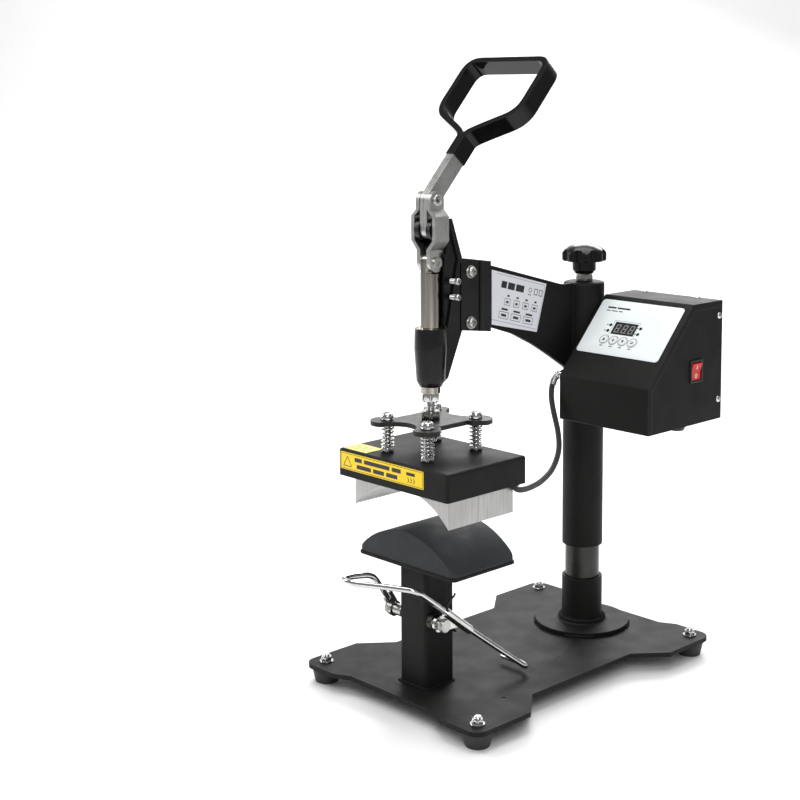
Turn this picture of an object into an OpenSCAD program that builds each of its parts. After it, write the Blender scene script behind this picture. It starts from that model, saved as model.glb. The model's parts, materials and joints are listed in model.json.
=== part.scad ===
// Swing-away cap heat press: curved platen and pad on a pedestal, head on an arm that swings
// round a column, toggle lever, temperature control box and a sprung bail that holds the cap.
// Millimetres, +Z up, the operator stands at -Y, +X is the operator's right.
$fn = 96;

/* [Base] */
// Width of the base plate over its corner lobes
base_w = 256; // [220:1:300]
// Depth of the base plate
base_d = 374; // [320:1:420]
// Thickness of the base plate
base_t = 5; // [3:0.5:8]
// Width between the side waists
waist_w = 200; // [160:1:230]
// Height of the rubber feet
foot_h = 16; // [10:1:25]
// Radius of the plate corners
corner_r = 14; // [6:1:25]

/* [Column] */
// Distance of the column behind the base centre
column_y = 117; // [90:1:140]
// Outer diameter of the fixed post
post_d = 38; // [30:1:45]
// Outer diameter of the swinging tube
tube_d = 45; // [38:1:55]
// Height of the bottom of the swinging tube
tube_z = 114; // [90:1:140]
// Height of the top of the swinging tube
tube_top = 411; // [380:1:440]
// Diameter of the height screw
screw_d = 12; // [8:1:16]
// Diameter of the star knob
knob_d = 49; // [36:1:60]

/* [Pad and platen] */
// Side of the square pedestal tube
pedestal_w = 40; // [30:1:60]
// Width of the curved pad
pad_w = 138; // [110:1:160]
// Highest point of the pad
pad_top = 184; // [170:1:195]
// Radius of the heated curve
block_r = 91; // [80:1:110]
// Height of the middle of the heated curve with the press open
block_z = 230.5; // [225:0.5:240]
// Width of the head cover
cover_w = 158; // [140:1:180]
// Depth of the head cover
cover_d = 112; // [100:1:130]

/* [Toggle] */
// Distance of the plunger in front of the base centre
plunger_y = 121; // [110:1:130]
// Diameter of the plunger rod
rod_d = 20; // [14:1:25]
// Height of the fixed lever pivot
pivot_z = 485; // [470:1:500]
// Length of the crank between the two upper pivots
crank = 29.5; // [25:0.5:35]
// Length of the toggle links between pivots
link_len = 62.2; // [55:0.2:70]
// Lean of the raised handle above the horizontal
handle_lean = 47.5; // [30:0.5:70]
// Reach of the handle to the middle of its cross bar
handle_reach = 180; // [140:1:220]
// Width of the handle loop between bar centres
loop_w = 112; // [90:1:140]

/* [Control box] */
// Left face of the control box
box_left = 24; // [23:1:40]
// Width of the control box
box_w = 118; // [90:1:140]
// Bottom of the control box
box_z = 270; // [250:1:290]
// Height of the control box
box_h = 128; // [100:1:150]

/* [Hidden] */
rocker_out = 3;
box_right = box_left + box_w;
bail_front = 210;
frame_x = -(box_right + rocker_out - base_w / 2) / 2;
frame_y = (bail_front - base_d / 2) / 2;
plate_top = foot_h + base_t;
sheet = 1.5;
gap = 0.3;
rod_y = -plunger_y;
a_z = pivot_z + crank;
b_z = a_z - link_len;
head_y = -120;
pad_y = -114;
cover_z = 231.5;
cover_top = 259.5;
bolt_x = 29;
bolt_dy = 34;
spider_z = 288.3;
spider_t = 4.7;
arc_z = block_z - block_r;
bail_y = -141.5;
bail_z = 92.1;
bail_x = 33;
strap_t = 4.8;
strap_w = 18.4;
box_front = 49;
box_rear = 177;
box_top = box_z + box_h;
slope_a = 46.6;
slope_z = 318.4;
slope_y = 124;
rocker_y = 130;
rocker_z = 327;
rocker_tilt = 8;
lead_r = 3;
foot_at = [for (x = [-111, 111]) for (y = [-169, 169]) [x, y]];
bolt_at = [for (x = [-bolt_x, bolt_x]) for (y = [head_y - bolt_dy, head_y + bolt_dy]) [x, y]];
key_x = [55.5, 68, 80.5, 93];

lead_route = [
  [72.6, -76, 246], [72.6, -76, 233], [72.6, -75, 226.5], [71.5, -66, 222.5],
  [66, -45, 220], [58, -18, 220], [48, 11, 225.5], [39, 32, 241], [30, 40, 259],
  [23, 41, 277], [17, 43, 293], [13.5, 48, 304], [12.5, 53, 312], [15.5, 56, 317],
  [21, 56, 317], [34, 56, 317]
];
bail_route = [
  [-33, -150, 104.3], [-34, -171, 134.5], [-43, -194, 135.5], [-42, -205, 136],
  [-30, -208, 136], [-19, -201, 135], [8, -187, 135], [33, -174, 134],
  [33, -98, 75], [62, -44, 28.5], [50, -38, 28.5], [20, -38, 28.5]
];

function unit(v) = v / norm(v);
function tang(p, i) = unit(p[min(i + 1, len(p) - 1)] - p[max(i - 1, 0)]);
function carry(n, t) = unit(n - (n * t) * t);
function normals(p, seed) = [
  for (i = 0, n = carry(seed, tang(p, 0)); i < len(p);
       i = i + 1, n = carry(n, tang(p, min(i, len(p) - 1)))) n
];
function bez(a, b, c, t) = (1 - t) * (1 - t) * a + 2 * (1 - t) * t * b + t * t * c;
function bend(p, i, d, k) =
  let(u = p[i - 1] - p[i], v = p[i + 1] - p[i])
  let(du = min(d, norm(u) * 0.48), dv = min(d, norm(v) * 0.48))
  [for (j = [0:k]) bez(p[i] + unit(u) * du, p[i], p[i] + unit(v) * dv, j / k)];
function flow(p, d, k) = concat(
  [p[0]],
  [for (i = [1:len(p) - 2]) each bend(p, i, d, k)],
  [p[len(p) - 1]]
);
function coil(r, rise, turns, per) = [
  for (i = [0:turns * per]) [r * cos(360 * i / per), r * sin(360 * i / per), rise * i / (turns * per)]
];
function lean(s) = [-plunger_y + s * cos(handle_lean), a_z + s * sin(handle_lean)];

// A round bar of radius r along the points p.
module sweep(p, r, sides, seed) {
  ns = normals(p, seed);
  n = len(p);
  rings = [
    for (i = [0:n - 1]) for (k = [0:sides - 1])
      let(t = tang(p, i), b = cross(t, ns[i]), a = 360 * k / sides)
      p[i] + r * (cos(a) * ns[i] + sin(a) * b)
  ];
  walls = [
    for (i = [0:n - 2]) for (k = [0:sides - 1])
      let(m = (k + 1) % sides)
      [i * sides + k, (i + 1) * sides + k, (i + 1) * sides + m, i * sides + m]
  ];
  first = [for (k = [0:sides - 1]) k];
  last = [for (k = [0:sides - 1]) n * sides - 1 - k];
  polyhedron(points = rings, faces = concat(walls, [first, last]), convexity = 8);
}

module place() {
  translate([frame_x, frame_y, 0]) children();
}

module at_column() {
  place() translate([0, column_y, 0]) children();
}

module at_rod() {
  place() translate([0, rod_y, 0]) children();
}

module ring(d, bore, z0, z1) {
  difference() {
    translate([0, 0, z0]) cylinder(h = z1 - z0, d = d);
    translate([0, 0, z0 - 1]) cylinder(h = z1 - z0 + 2, d = bore);
  }
}

module hexa(af, z0, z1) {
  translate([0, 0, z0]) cylinder(h = z1 - z0, d = af / cos(30), $fn = 6);
}

module across(x0, x1, y, z, d) {
  translate([x0, y, z]) rotate([0, 90, 0]) cylinder(h = x1 - x0, d = d);
}

module across_hex(x0, x1, y, z, af) {
  translate([x0, y, z]) rotate([0, 90, 0]) cylinder(h = x1 - x0, d = af / cos(30), $fn = 6);
}

// A side profile drawn as [y, z] and given width from x0 to x1.
module side(x0, x1) {
  translate([x0, 0, 0]) rotate([90, 0, 90]) linear_extrude(x1 - x0) children();
}

module soft_rect(w, d, r) {
  square([w - 2 * r, d], center = true);
  square([w, d - 2 * r], center = true);
  for (x = [-1, 1]) for (y = [-1, 1])
    translate([x * (w / 2 - r), y * (d / 2 - r)]) circle(r);
}

// Local frame of the sloping front of the control box: v up the slope, w out of it.
module on_slope(x, v, w) {
  place() translate([x, box_front, slope_z]) rotate([slope_a, 0, 0]) translate([0, v, w]) children();
}

// ---------------------------------------------------------------- base
module base_outline() {
  w = base_w / 2;
  d = base_d / 2;
  s = waist_w / 2;
  polygon([
    [-62, -d + 9], [62, -d + 9], [80, -d], [w - corner_r, -d], [w, -d + corner_r],
    [w, -112], [s, -78], [s, 78], [w, 112], [w, d - corner_r], [w - corner_r, d],
    [80, d], [62, d - 9], [-62, d - 9], [-80, d], [-w + corner_r, d], [-w, d - corner_r],
    [-w, 112], [-s, 78], [-s, -78], [-w, -112], [-w, -d + corner_r], [-w + corner_r, -d],
    [-80, -d]
  ]);
  for (x = [-1, 1]) for (y = [-1, 1])
    translate([x * (w - corner_r), y * (d - corner_r)]) circle(corner_r);
}

module base_plate() {
  color("#222323") place() difference() {
    translate([0, 0, foot_h]) linear_extrude(base_t) base_outline();
    for (p = foot_at) translate([p[0], p[1], foot_h - 1]) cylinder(h = base_t + 2, d = 8.4);
    for (a = [45:90:315]) translate([0, column_y, 0]) rotate([0, 0, a])
      translate([42, 0, foot_h - 1]) cylinder(h = base_t + 2, d = 8.4);
    for (p = [[36, 70], [103, 0], [86, -105]])
      translate([p[0], p[1], plate_top - 0.6]) cylinder(h = 1, d1 = 3, d2 = 5);
  }
}

module rubber_feet() {
  color("#1c1c1c") place() for (p = foot_at) translate([p[0], p[1], 0]) difference() {
    cylinder(h = foot_h, d1 = 24, d2 = 31);
    translate([0, 0, -1]) cylinder(h = foot_h + 2, d = 8.2);
    translate([0, 0, -1]) cylinder(h = 8, d = 14);
  }
}

module foot_bolts() {
  color("#d8d9da") place() for (p = foot_at) translate([p[0], p[1], 0]) {
    hexa(12, 1.5, 7);
    translate([0, 0, 6.5]) cylinder(h = 19.5, d = 8);
    hexa(13, plate_top, plate_top + 4);
    translate([0, 0, plate_top + 4]) cylinder(h = 3, d1 = 11.5, d2 = 6.5);
  }
}

module post_flange() {
  color("#222323") at_column() difference() {
    union() {
      translate([0, 0, plate_top]) cylinder(h = 5, d = 105);
      translate([0, 0, plate_top + 5]) cylinder(h = 5, d1 = 56, d2 = tube_d);
      translate([0, 0, plate_top]) cylinder(h = 56, d = tube_d);
    }
    translate([0, 0, plate_top - 1]) cylinder(h = 60, d = post_d + 0.06);
    for (a = [45:90:315]) rotate([0, 0, a])
      translate([42, 0, plate_top - 1]) cylinder(h = 5, d = 8.2);
  }
}

module flange_bolts() {
  color("#8f9194") at_column() for (a = [45:90:315]) rotate([0, 0, a]) translate([42, 0, 0]) {
    hexa(13, foot_h - 5, foot_h);
    translate([0, 0, foot_h - 0.5]) cylinder(h = base_t + 3.5, d = 8);
  }
}

module post() {
  color("#5a5b5c") at_column() ring(post_d, post_d - 6, plate_top, 330 - gap);
}

module post_plug() {
  color("#9a9c9e") at_column() translate([0, 0, 318]) cylinder(h = 12 - gap, d = post_d - 6.06);
}

// ---------------------------------------------------------------- pedestal, plate and pad
module pedestal() {
  color("#222323") place() difference() {
    union() {
      translate([0, -128, plate_top]) linear_extrude(126) difference() {
        soft_rect(pedestal_w, pedestal_w, 5);
        square(pedestal_w - 6, center = true);
      }
      translate([0, -128, 142]) linear_extrude(5) square(pedestal_w - 5, center = true);
    }
    across(-30, 30, bail_y, bail_z, 8.3);
    translate([0, -128, 140]) cylinder(h = 10, d = 10.3);
  }
}

module pad_plate() {
  color("#222323") place() difference() {
    translate([0, pad_y, 147]) linear_extrude(3.5) soft_rect(pad_w + 1, 91, 6);
    translate([0, -128, 146]) cylinder(h = 6, d = 10.3);
  }
}

module platen_bolt() {
  color("#8f9194") place() translate([0, -128, 0]) {
    translate([0, 0, 150.5]) cylinder(h = 4, d = 17);
    translate([0, 0, 130]) cylinder(h = 21, d = 10);
    hexa(16, 133.7, 142);
  }
}

module heat_pad() {
  r = block_r + 1.5;
  color("#5d6560") place() difference() {
    intersection() {
      translate([0, pad_y + 44.5, pad_top - r]) rotate([90, 0, 0]) cylinder(h = 89, r = r);
      translate([0, pad_y, 150.5]) linear_extrude(50) soft_rect(pad_w, 89, 5);
    }
    translate([0, -128, 149]) cylinder(h = 6, d = 18);
  }
}

// ---------------------------------------------------------------- cap bail
module bail_bolt() {
  color("#c9cacc") place() {
    across(-37, 36.5, bail_y, bail_z, 8);
    across_hex(36, 40, bail_y, bail_z, 13);
    across_hex(-42, -36, bail_y, bail_z, 13);
    across(-31, -20, bail_y, bail_z, 12);
  }
}

module bail_spring() {
  turns = 2.775;
  wind = [
    for (i = [0:40])
      let(a = 50.7 + 360 * turns * i / 40)
      [21.5 + 5.4 * i / 40, 7.5 * cos(a), 7.5 * sin(a)]
  ];
  wire = concat(
    [[14, 36, -20], [19.5, 36, -20], [21.5, 34, -18.4], [21.5, 20, -6.6]],
    wind,
    [[26.9, 12, 6], [27.5, 19.5, 18.8], [31, 22.5, 24], [33.5, 20.5, 27]]
  );
  color("#2b2c2e") place() translate([0, bail_y, bail_z]) sweep(wire, 1, 6, [0, 0.2, 1]);
}

module bail_wire() {
  color("#e8e9ea") place() sweep(flow(bail_route, 9, 5), 3, 10, [1, 0, 0]);
}

module bail_tabs() {
  color("#cfd0d2") place() {
    difference() {
      union() {
        side(bail_x - 3.2, bail_x - 0.2) {
          translate([bail_y, bail_z]) circle(8);
          polygon([
            [bail_y - 8, bail_z], [bail_y + 2, bail_z - 8], [-112, 82.5], [-136, 102]
          ]);
        }
        translate([bail_x, -134.8, 103.7]) rotate([-128.5, 0, 0]) cylinder(h = 45, d = 9.5);
      }
      across(20, 40, bail_y, bail_z, 8.16);
      sweep(flow([[bail_x, -174, 134], [bail_x, -98, 75], [62, -44, 28.5]], 9, 5), 3.2, 10, [1, 0, 0]);
    }
    difference() {
      side(-35.5, -32.5) {
        translate([bail_y, bail_z]) circle(8);
        polygon([
          [bail_y - 8, bail_z], [bail_y + 8, bail_z], [-146, 112], [-156, 106]
        ]);
      }
      across(-45, -20, bail_y, bail_z, 8.16);
      sweep(flow(bail_route, 9, 5), 3.2, 10, [1, 0, 0]);
    }
  }
}

// ---------------------------------------------------------------- height screw
module thrust_pad() {
  color("#b08d4a") at_column() translate([0, 0, 330]) cylinder(h = 6, d = 36);
}

module height_screw() {
  color("#b5b7ba") at_column() translate([0, 0, 336 + gap]) cylinder(h = 100, d = screw_d);
}

module star_knob() {
  color("#17181a") at_column() difference() {
    union() {
      translate([0, 0, 420]) cylinder(h = 4, d1 = 20, d2 = 26);
      translate([0, 0, 424]) cylinder(h = 11, d = 26);
      intersection() {
        translate([0, 0, 434]) linear_extrude(20) {
          circle(21);
          for (a = [0:45:315]) rotate(a) translate([knob_d / 2 - 5.5, 0]) circle(5.5);
        }
        rotate_extrude() polygon([
          [0, 433], [22, 433], [knob_d / 2, 435.5], [knob_d / 2, 443], [22, 446.5],
          [17, 450], [9, 453.2], [0, 454]
        ]);
      }
    }
    translate([0, 0, 419]) cylinder(h = 17.3 + gap, d = screw_d);
  }
}

// ---------------------------------------------------------------- swinging arm
module swing_tube() {
  color("#222323") at_column() ring(tube_d, tube_d - 4, tube_z, 403);
}

module tube_cap() {
  color("#222323") at_column() difference() {
    rotate_extrude() polygon([
      [0, 396], [20.45, 396], [20.45, 403], [22.5, 403], [22.5, 409.3], [22, 410.6],
      [20.6, tube_top + 0.4], [0, tube_top + 0.5]
    ]);
    translate([0, 0, 390]) cylinder(h = 30, d = screw_d + 0.16);
  }
}

module tube_bushes() {
  color("#a98a45") at_column() {
    ring(tube_d - 4.04, post_d + 0.1, tube_z + 0.5, tube_z + 30);
    ring(tube_d - 4.04, post_d + 0.1, 292, 322);
  }
}

module lock_nut() {
  color("#d9dadc") at_column() difference() {
    hexa(18, tube_top + 1, tube_top + 8.7);
    translate([0, 0, 400]) cylinder(h = 30, d = screw_d + 0.16);
  }
}

module arm_plate() {
  color("#222323") place() difference() {
    side(-3, 3) polygon([
      [-87, 450], [-47.5, 445.4], [-35, 442], [78, 411.3], [96, 411], [96, 311.3], [79, 322],
      [53, 338], [30, 351], [-1, 366], [-35, 377], [-47.5, 380], [-87, 384]
    ]);
    translate([0, column_y, 300]) cylinder(h = 120, d = tube_d + 0.02);
    for (z = [388, 440]) across(-5, 5, -77.4, z, 8.4);
  }
}

module spec_label() {
  color("#d5d6d8") place() side(3, 3.3)
    polygon([[-35, 437.5], [50.5, 414.7], [35, 364], [-35, 380]]);
}

module press_casting() {
  color("#101113") place() difference() {
    union() {
      translate([0, rod_y, 0]) rotate_extrude() polygon([
        [0, 327], [11.5, 327], [14.5, 333], [16.5, 365], [16, 386], [0, 386]
      ]);
      side(-13, 13) polygon([
        [-114, 381], [-90, 381], [-90, 455], [-91, 456], [-105, 496], [-110.3, 496],
        [-110.3, 462], [-114, 460]
      ]);
      for (m = [0, 1]) mirror([m, 0, 0]) {
        side(5.5, 11.2) {
          translate([rod_y, pivot_z]) circle(11.5);
          polygon([
            [rod_y, pivot_z - 11.5], [rod_y, pivot_z + 11.5], [-108, 496.5], [-100, 474]
          ]);
        }
        side(13, 15.2) polygon([
          [-111.5, 388], [-108, 386], [-93.5, 452], [-97, 454]
        ]);
        side(12.5, 15.2) polygon([
          [-105, 496], [-91, 456], [-91, 450], [-95, 450], [-109, 490], [-109, 496]
        ]);
        translate([14, -62.5, 377.8]) cylinder(h = 72, r = 2.2);
      }
      intersection() {
        translate([0, -100, 0]) rotate([90, 0, 0]) linear_extrude(30)
          polygon([[-10.6, 475], [10.6, 475], [3.4, 465.5], [-3.4, 465.5]]);
        side(-12, 12) polygon([
          [-108, 475], [-117.3, 475], [-126, 467], [-126, 465], [-108, 465]
        ]);
      }
      side(-14, 14) polygon([[-91, 381.5], [-91, 455], [-47.5, 448.5], [-47.5, 375.5]]);
      side(-6, 6) polygon([
        [-114, 330], [-107.5, 330], [-102, 333.5], [-81, 381], [-81, 385], [-114, 385]
      ]);
    }
    translate([0, rod_y, 333]) cylinder(h = 60, d = 24);
    translate([0, rod_y, 320]) cylinder(h = 20, d = rod_d + 0.8);
    translate([0, rod_y, 385]) cylinder(h = 80, d = rod_d + 1.2);
    translate([-10.2, -130, 396]) cube([20.4, 20, 66.5]);
    translate([-3.05, -88, 370]) cube([6.1, 50, 90]);
    for (z = [388, 440]) across(-20, 20, -77.4, z, 8.4);
    for (z = [417, 433]) across(5.5, 20, -104, z, 6.1);
    across(-20, 20, rod_y, pivot_z, 8);
  }
}

module barrel_bush() {
  color("#a98a45") at_rod() ring(23.96, rod_d + 0.12, 333, 386);
}

module clamp_bolts() {
  color("#d4d5d7") place() for (z = [388, 440]) {
    across(-16, 16.5, -77.4, z, 8);
    across(14, 15.5, -77.4, z, 17);
    across(15.5, 22, -77.4, z, 13);
    across(-15.5, -14, -77.4, z, 17);
    across_hex(-21.5, -15.5, -77.4, z, 13);
  }
}

module set_screws() {
  color("#2a2b2d") place() for (z = [417, 433]) {
    across(6, 22, -104, z, 6);
    across(20, 25, -104, z, 8.5);
  }
}

module lever_pin() {
  color("#c7c8ca") place() {
    across(-11.2, 11.2, rod_y, pivot_z, 7.9);
    across(11.2, 12.3, rod_y, pivot_z, 12);
    across(-12.3, -11.2, rod_y, pivot_z, 12);
  }
}

// ---------------------------------------------------------------- toggle
module strap_side(t, w) {
  difference() {
    linear_extrude(w, center = true) union() {
      p = flow([
        [2.5, 74], [2.5, 78], [2.5 + 5, 84], [loop_w / 2, 110], [loop_w / 2, handle_reach],
        [-1, handle_reach]
      ], 16, 8);
      n = len(p);
      polygon(concat(
        [for (i = [0:n - 1]) p[i] + t / 2 * [-tang(p, i)[1], tang(p, i)[0]]],
        [for (i = [n - 1:-1:0]) p[i] - t / 2 * [-tang(p, i)[1], tang(p, i)[0]]]
      ));
    }
    translate([-60, 0, -w]) cube([60, 300, 2 * w]);
  }
}

module loop_frame() {
  translate([0, rod_y, a_z]) rotate([handle_lean, 0, 0]) children();
}

module lever_strap() {
  color("#dfe0e1") place() difference() {
    union() {
      for (m = [0, 1]) mirror([m, 0, 0]) {
        side(0.1, 0.1 + strap_t) {
          translate([rod_y, pivot_z]) circle(strap_w / 2);
          translate([rod_y, a_z]) circle(strap_w / 2);
          translate([rod_y - strap_w / 2, pivot_z]) square([strap_w, crank]);
          translate([rod_y, a_z]) rotate(handle_lean)
            translate([0, -strap_w / 2]) square([76, strap_w]);
        }
        loop_frame() translate([0, 0, 0]) strap_side(strap_t, strap_w);
      }
    }
    across(-10, 10, rod_y, pivot_z, 8.12);
    across(-10, 10, rod_y, a_z, 8);
  }
}

module handle_grip() {
  color("#121214") place() difference() {
    union() {
      for (m = [0, 1]) mirror([m, 0, 0]) loop_frame() strap_side(6.5, 20);
      loop_frame() translate([-5.75, 52.4, -10]) cube([11.5, 24, 20]);
    }
    for (m = [0, 1]) mirror([m, 0, 0]) loop_frame() strap_side(strap_t + 0.02, strap_w + 0.02);
    loop_frame() translate([-4.91, 50, -strap_w / 2 - 0.01])
      cube([9.82, 28, strap_w + 0.02]);
  }
}

module crank_pin() {
  color("#3a3b3d") place() {
    across(-10.6, 10.6, rod_y, a_z, 7.98);
    for (m = [0, 1]) mirror([m, 0, 0]) difference() {
      across(10.3 + gap, 12.6, rod_y, a_z, 12);
      across_hex(11.4, 13, rod_y, a_z, 5);
    }
  }
}

module toggle_links() {
  color("#c9cacb") place() for (m = [0, 1]) mirror([m, 0, 0]) difference() {
    intersection() {
      translate([0, rod_y + 15, 0]) rotate([90, 0, 0]) linear_extrude(30) polygon([
        [5.3, a_z + 10], [10.3, a_z + 10], [10.3, a_z - 9], [17.3, a_z - 15.6],
        [17.3, a_z - 40.2], [9.3, a_z - 49.5], [9.3, b_z - 10], [4.3, b_z - 10],
        [4.3, a_z - 48.8], [12.6, a_z - 39.9], [12.6, a_z - 15.7], [5.3, a_z - 9.1]
      ]);
      side(0, 20) {
        translate([rod_y, a_z]) circle(9.5);
        translate([rod_y, b_z]) circle(9.5);
        translate([rod_y - 9.5, b_z]) square([19, link_len]);
      }
    }
    across(0, 20, rod_y, a_z, 8.1);
    across(0, 20, rod_y, b_z, 8);
  }
}

module link_studs() {
  color("#3a3b3d") place() for (m = [0, 1]) mirror([m, 0, 0]) difference() {
    union() {
      across(4.3, 9.3, rod_y, b_z, 7.98);
      across(9.3, 11.6, rod_y, b_z, 11);
    }
    across_hex(10.4, 13, rod_y, b_z, 5);
  }
}

module plunger_rod() {
  color("#e2e3e4") at_rod() difference() {
    union() {
      translate([0, 0, 320.4]) cylinder(h = 121, d = rod_d);
      translate([-4, -9.5, 438]) cube([8, 19, b_z - 438]);
      across(-4, 4, 0, b_z, 19);
    }
    across(-5, 5, 0, b_z, 8);
    translate([0, 0, 319]) cylinder(h = 14.4, d = 10);
  }
}

module rod_pin() {
  color("#b5b7ba") at_rod() across(-4, 4, 0, b_z, 7.96);
}

module spider_plate() {
  color("#151618") place() translate([0, head_y, spider_z]) difference() {
    linear_extrude(spider_t) difference() {
      union() {
        square([61, 71.4], center = true);
        for (x = [-1, 1]) for (y = [-1, 1]) translate([x * 30.5, y * 35.7]) circle(15);
      }
      for (y = [-1, 1]) translate([0, y * 54.1]) circle(24);
      for (x = [-1, 1]) translate([x * 72, 0]) circle(42);
    }
    for (x = [-1, 1]) for (y = [-1, 1])
      translate([x * bolt_x, y * bolt_dy, -1]) cylinder(h = 8, d = 8.7);
    translate([0, rod_y - head_y, -1]) cylinder(h = 8, d = 10.1);
  }
}

module spider_stud() {
  color("#a9abae") at_rod() translate([0, 0, 277]) cylinder(h = 56, d = 9.96);
}

module spider_nuts() {
  color("#2a2b2d") at_rod() difference() {
    union() {
      hexa(18.2, spider_z + spider_t, 302);
      hexa(17, 280.5, spider_z);
    }
    translate([0, 0, 270]) cylinder(h = 40, d = 10);
  }
}

module rod_nut() {
  color("#d9dadc") at_rod() difference() {
    hexa(17, 311.5, 320.4);
    translate([0, 0, 300]) cylinder(h = 30, d = 10);
  }
}

// ---------------------------------------------------------------- heated head
module heater_block() {
  color("#b9b7b2") place() difference() {
    translate([-67.5, -164, 195]) cube([135, 92, 48]);
    translate([0, -60, arc_z]) rotate([90, 0, 0]) cylinder(h = 120, r = block_r);
    for (p = bolt_at) translate([p[0], p[1], 235]) cylinder(h = 10, d = 8);
  }
}

module head_cover() {
  cy = head_y - 0.5;
  color("#222323") place() difference() {
    hull() for (x = [-1, 1]) for (y = [-1, 1]) {
      translate([x * (cover_w / 2 - 3), cy + y * (cover_d / 2 - 3), cover_top - 3])
        sphere(3, $fn = 32);
      translate([x * (cover_w / 2 - 3), cy + y * (cover_d / 2 - 3), cover_z])
        cylinder(h = 1, r = 3, $fn = 32);
    }
    translate([-cover_w / 2 + sheet, cy - cover_d / 2 + sheet, cover_z - 1])
      cube([cover_w - 2 * sheet, cover_d - 2 * sheet, cover_top - cover_z + 1 - sheet]);
    for (p = bolt_at) translate([p[0], p[1], 250]) cylinder(h = 12, d = 8.2);
  }
}

module head_tray() {
  cy = head_y - 0.5;
  color("#b4b5b6") place() difference() {
    translate([-cover_w / 2 + sheet + 0.02, cy - cover_d / 2 + sheet + 0.02, cover_z])
      cube([cover_w - 2 * sheet - 0.04, cover_d - 2 * sheet - 0.04, 9]);
    translate([-cover_w / 2 + 2 * sheet, cy - cover_d / 2 + 2 * sheet, cover_z + sheet])
      cube([cover_w - 4 * sheet, cover_d - 4 * sheet, 12]);
    translate([-68, -164.5, 230]) cube([136, 93, 5]);
    translate([72.6, -76, 230]) cylinder(h = 5, d = 9);
  }
}

module heating_element() {
  color("#8a8780") place() {
    for (y = [-142, -98]) translate([-50, y, 243 + 3.5]) rotate([0, 90, 0]) cylinder(h = 100, d = 7);
    difference() {
      translate([-50, -120, 246.5]) rotate_extrude() translate([22, 0]) circle(3.5);
      translate([-50, -160, 240]) cube([40, 80, 14]);
    }
  }
}

module insulation() {
  color("#d8d2c0") place() difference() {
    translate([-66, -162, 250.1]) cube([132, 88, 7.4]);
    for (p = bolt_at) translate([p[0], p[1], 245]) cylinder(h = 20, d = 14.6);
  }
}

module spacer_tubes() {
  color("#a0a2a5") place() for (p = bolt_at) translate([p[0], p[1], 0])
    ring(14, 8.2, 243, cover_top - sheet);
}

module thermostat() {
  color("#c9c3b2") place() {
    translate([10, -120, 243]) cylinder(h = 5.5, d = 16);
    translate([-14, -124, 243]) cube([12, 8, 5]);
  }
}

module seat_nuts() {
  color("#c6c7c9") place() for (p = bolt_at) translate([p[0], p[1], 0]) difference() {
    hexa(13, cover_top, 265);
    translate([0, 0, 250]) cylinder(h = 20, d = 8);
  }
}

module spring_bolts() {
  color("#cfd0d2") place() for (p = bolt_at) translate([p[0], p[1], 0]) {
    translate([0, 0, 236]) cylinder(h = 58.5, d = 7.98);
    difference() {
      rotate_extrude() polygon([
        [0, 293 + gap], [6.5, 293 + gap], [6.5, 297], [5.6, 299], [3.5, 300], [0, 300.3]
      ]);
      hexa(5, 297, 302);
    }
  }
}

module head_springs() {
  color("#d0d1d3") place() for (p = bolt_at) translate([p[0], p[1], 266])
    sweep(coil(6, 21, 5, 12), 0.98, 6, [0, 0, 1]);
}

module front_label() {
  color("#e8c21c") place() translate([-75.5, -176.8, 239]) cube([122, 0.3, 18]);
}

module top_label() {
  color("#e8c21c") place() translate([-75, -173, cover_top]) cube([34, 24, 0.3]);
}

module head_grommet() {
  color("#1b1b1c") place() translate([72.6, -76, 0]) difference() {
    union() {
      translate([0, 0, 230]) cylinder(h = 1.5, d = 10);
      translate([0, 0, 231.5]) cylinder(h = 1.5, d = 8.9);
    }
    translate([0, 0, 229]) cylinder(h = 8, d = 7.2);
  }
}

module heater_lead() {
  color("#1a1a1b") place() sweep(flow(lead_route, 30, 5), lead_r, 10, [1, 0, 0]);
}

// ---------------------------------------------------------------- control box
module box_profile(e) {
  polygon([
    [box_front + e, box_z + e], [box_rear - e, box_z + e], [box_rear - e, box_top - e],
    [slope_y + e * 0.43, box_top - e], [box_front + e, slope_z - e * 0.43]
  ]);
}

module box_shell() {
  e = 1.2;
  color("#222323") place() difference() {
    side(box_left, box_right) polygon([
      [box_front, box_z + e], [box_front + e, box_z], [box_rear, box_z], [box_rear, box_top - e],
      [box_rear - e, box_top], [slope_y + e, box_top], [slope_y - 0.4 * e, box_top - e],
      [box_front + 0.7 * e, slope_z + 0.7 * e], [box_front, slope_z - e]
    ]);
    side(box_left + sheet, box_right - sheet) box_profile(sheet);
    translate([box_left - 1, box_rear - sheet, box_z - 1]) cube([box_w + 2, 4, box_h + 2]);
    translate([box_left + sheet, box_rear - 5, box_z + sheet])
      cube([box_w - 2 * sheet, 6, box_h - 2 * sheet]);
    translate([box_right - 5, rocker_y - 9.5, rocker_z - 11]) cube([10, 19, 22]);
    across(box_left - 2, box_left + 5, 56, 317, 8.9);
    for (y = [103, 131]) for (z = [310, 350]) across(box_left - 2, box_left + 5, y, z, 5.3);
    translate([118, 131, box_z - 2]) cylinder(h = 6, d = 16);
    translate([-frame_x, -frame_y, 0]) {
      on_slope(74, 68, 0) cube([31, 16.5, 8], center = true);
      for (x = key_x) on_slope(x, 52, -4) cylinder(h = 8, d = 9.4);
      for (p = [[54, 71], [54, 63.5], [94, 71], [94, 63.5]])
        on_slope(p[0], p[1], -4) cylinder(h = 8, d = 3.2);
    }
  }
}

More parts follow.
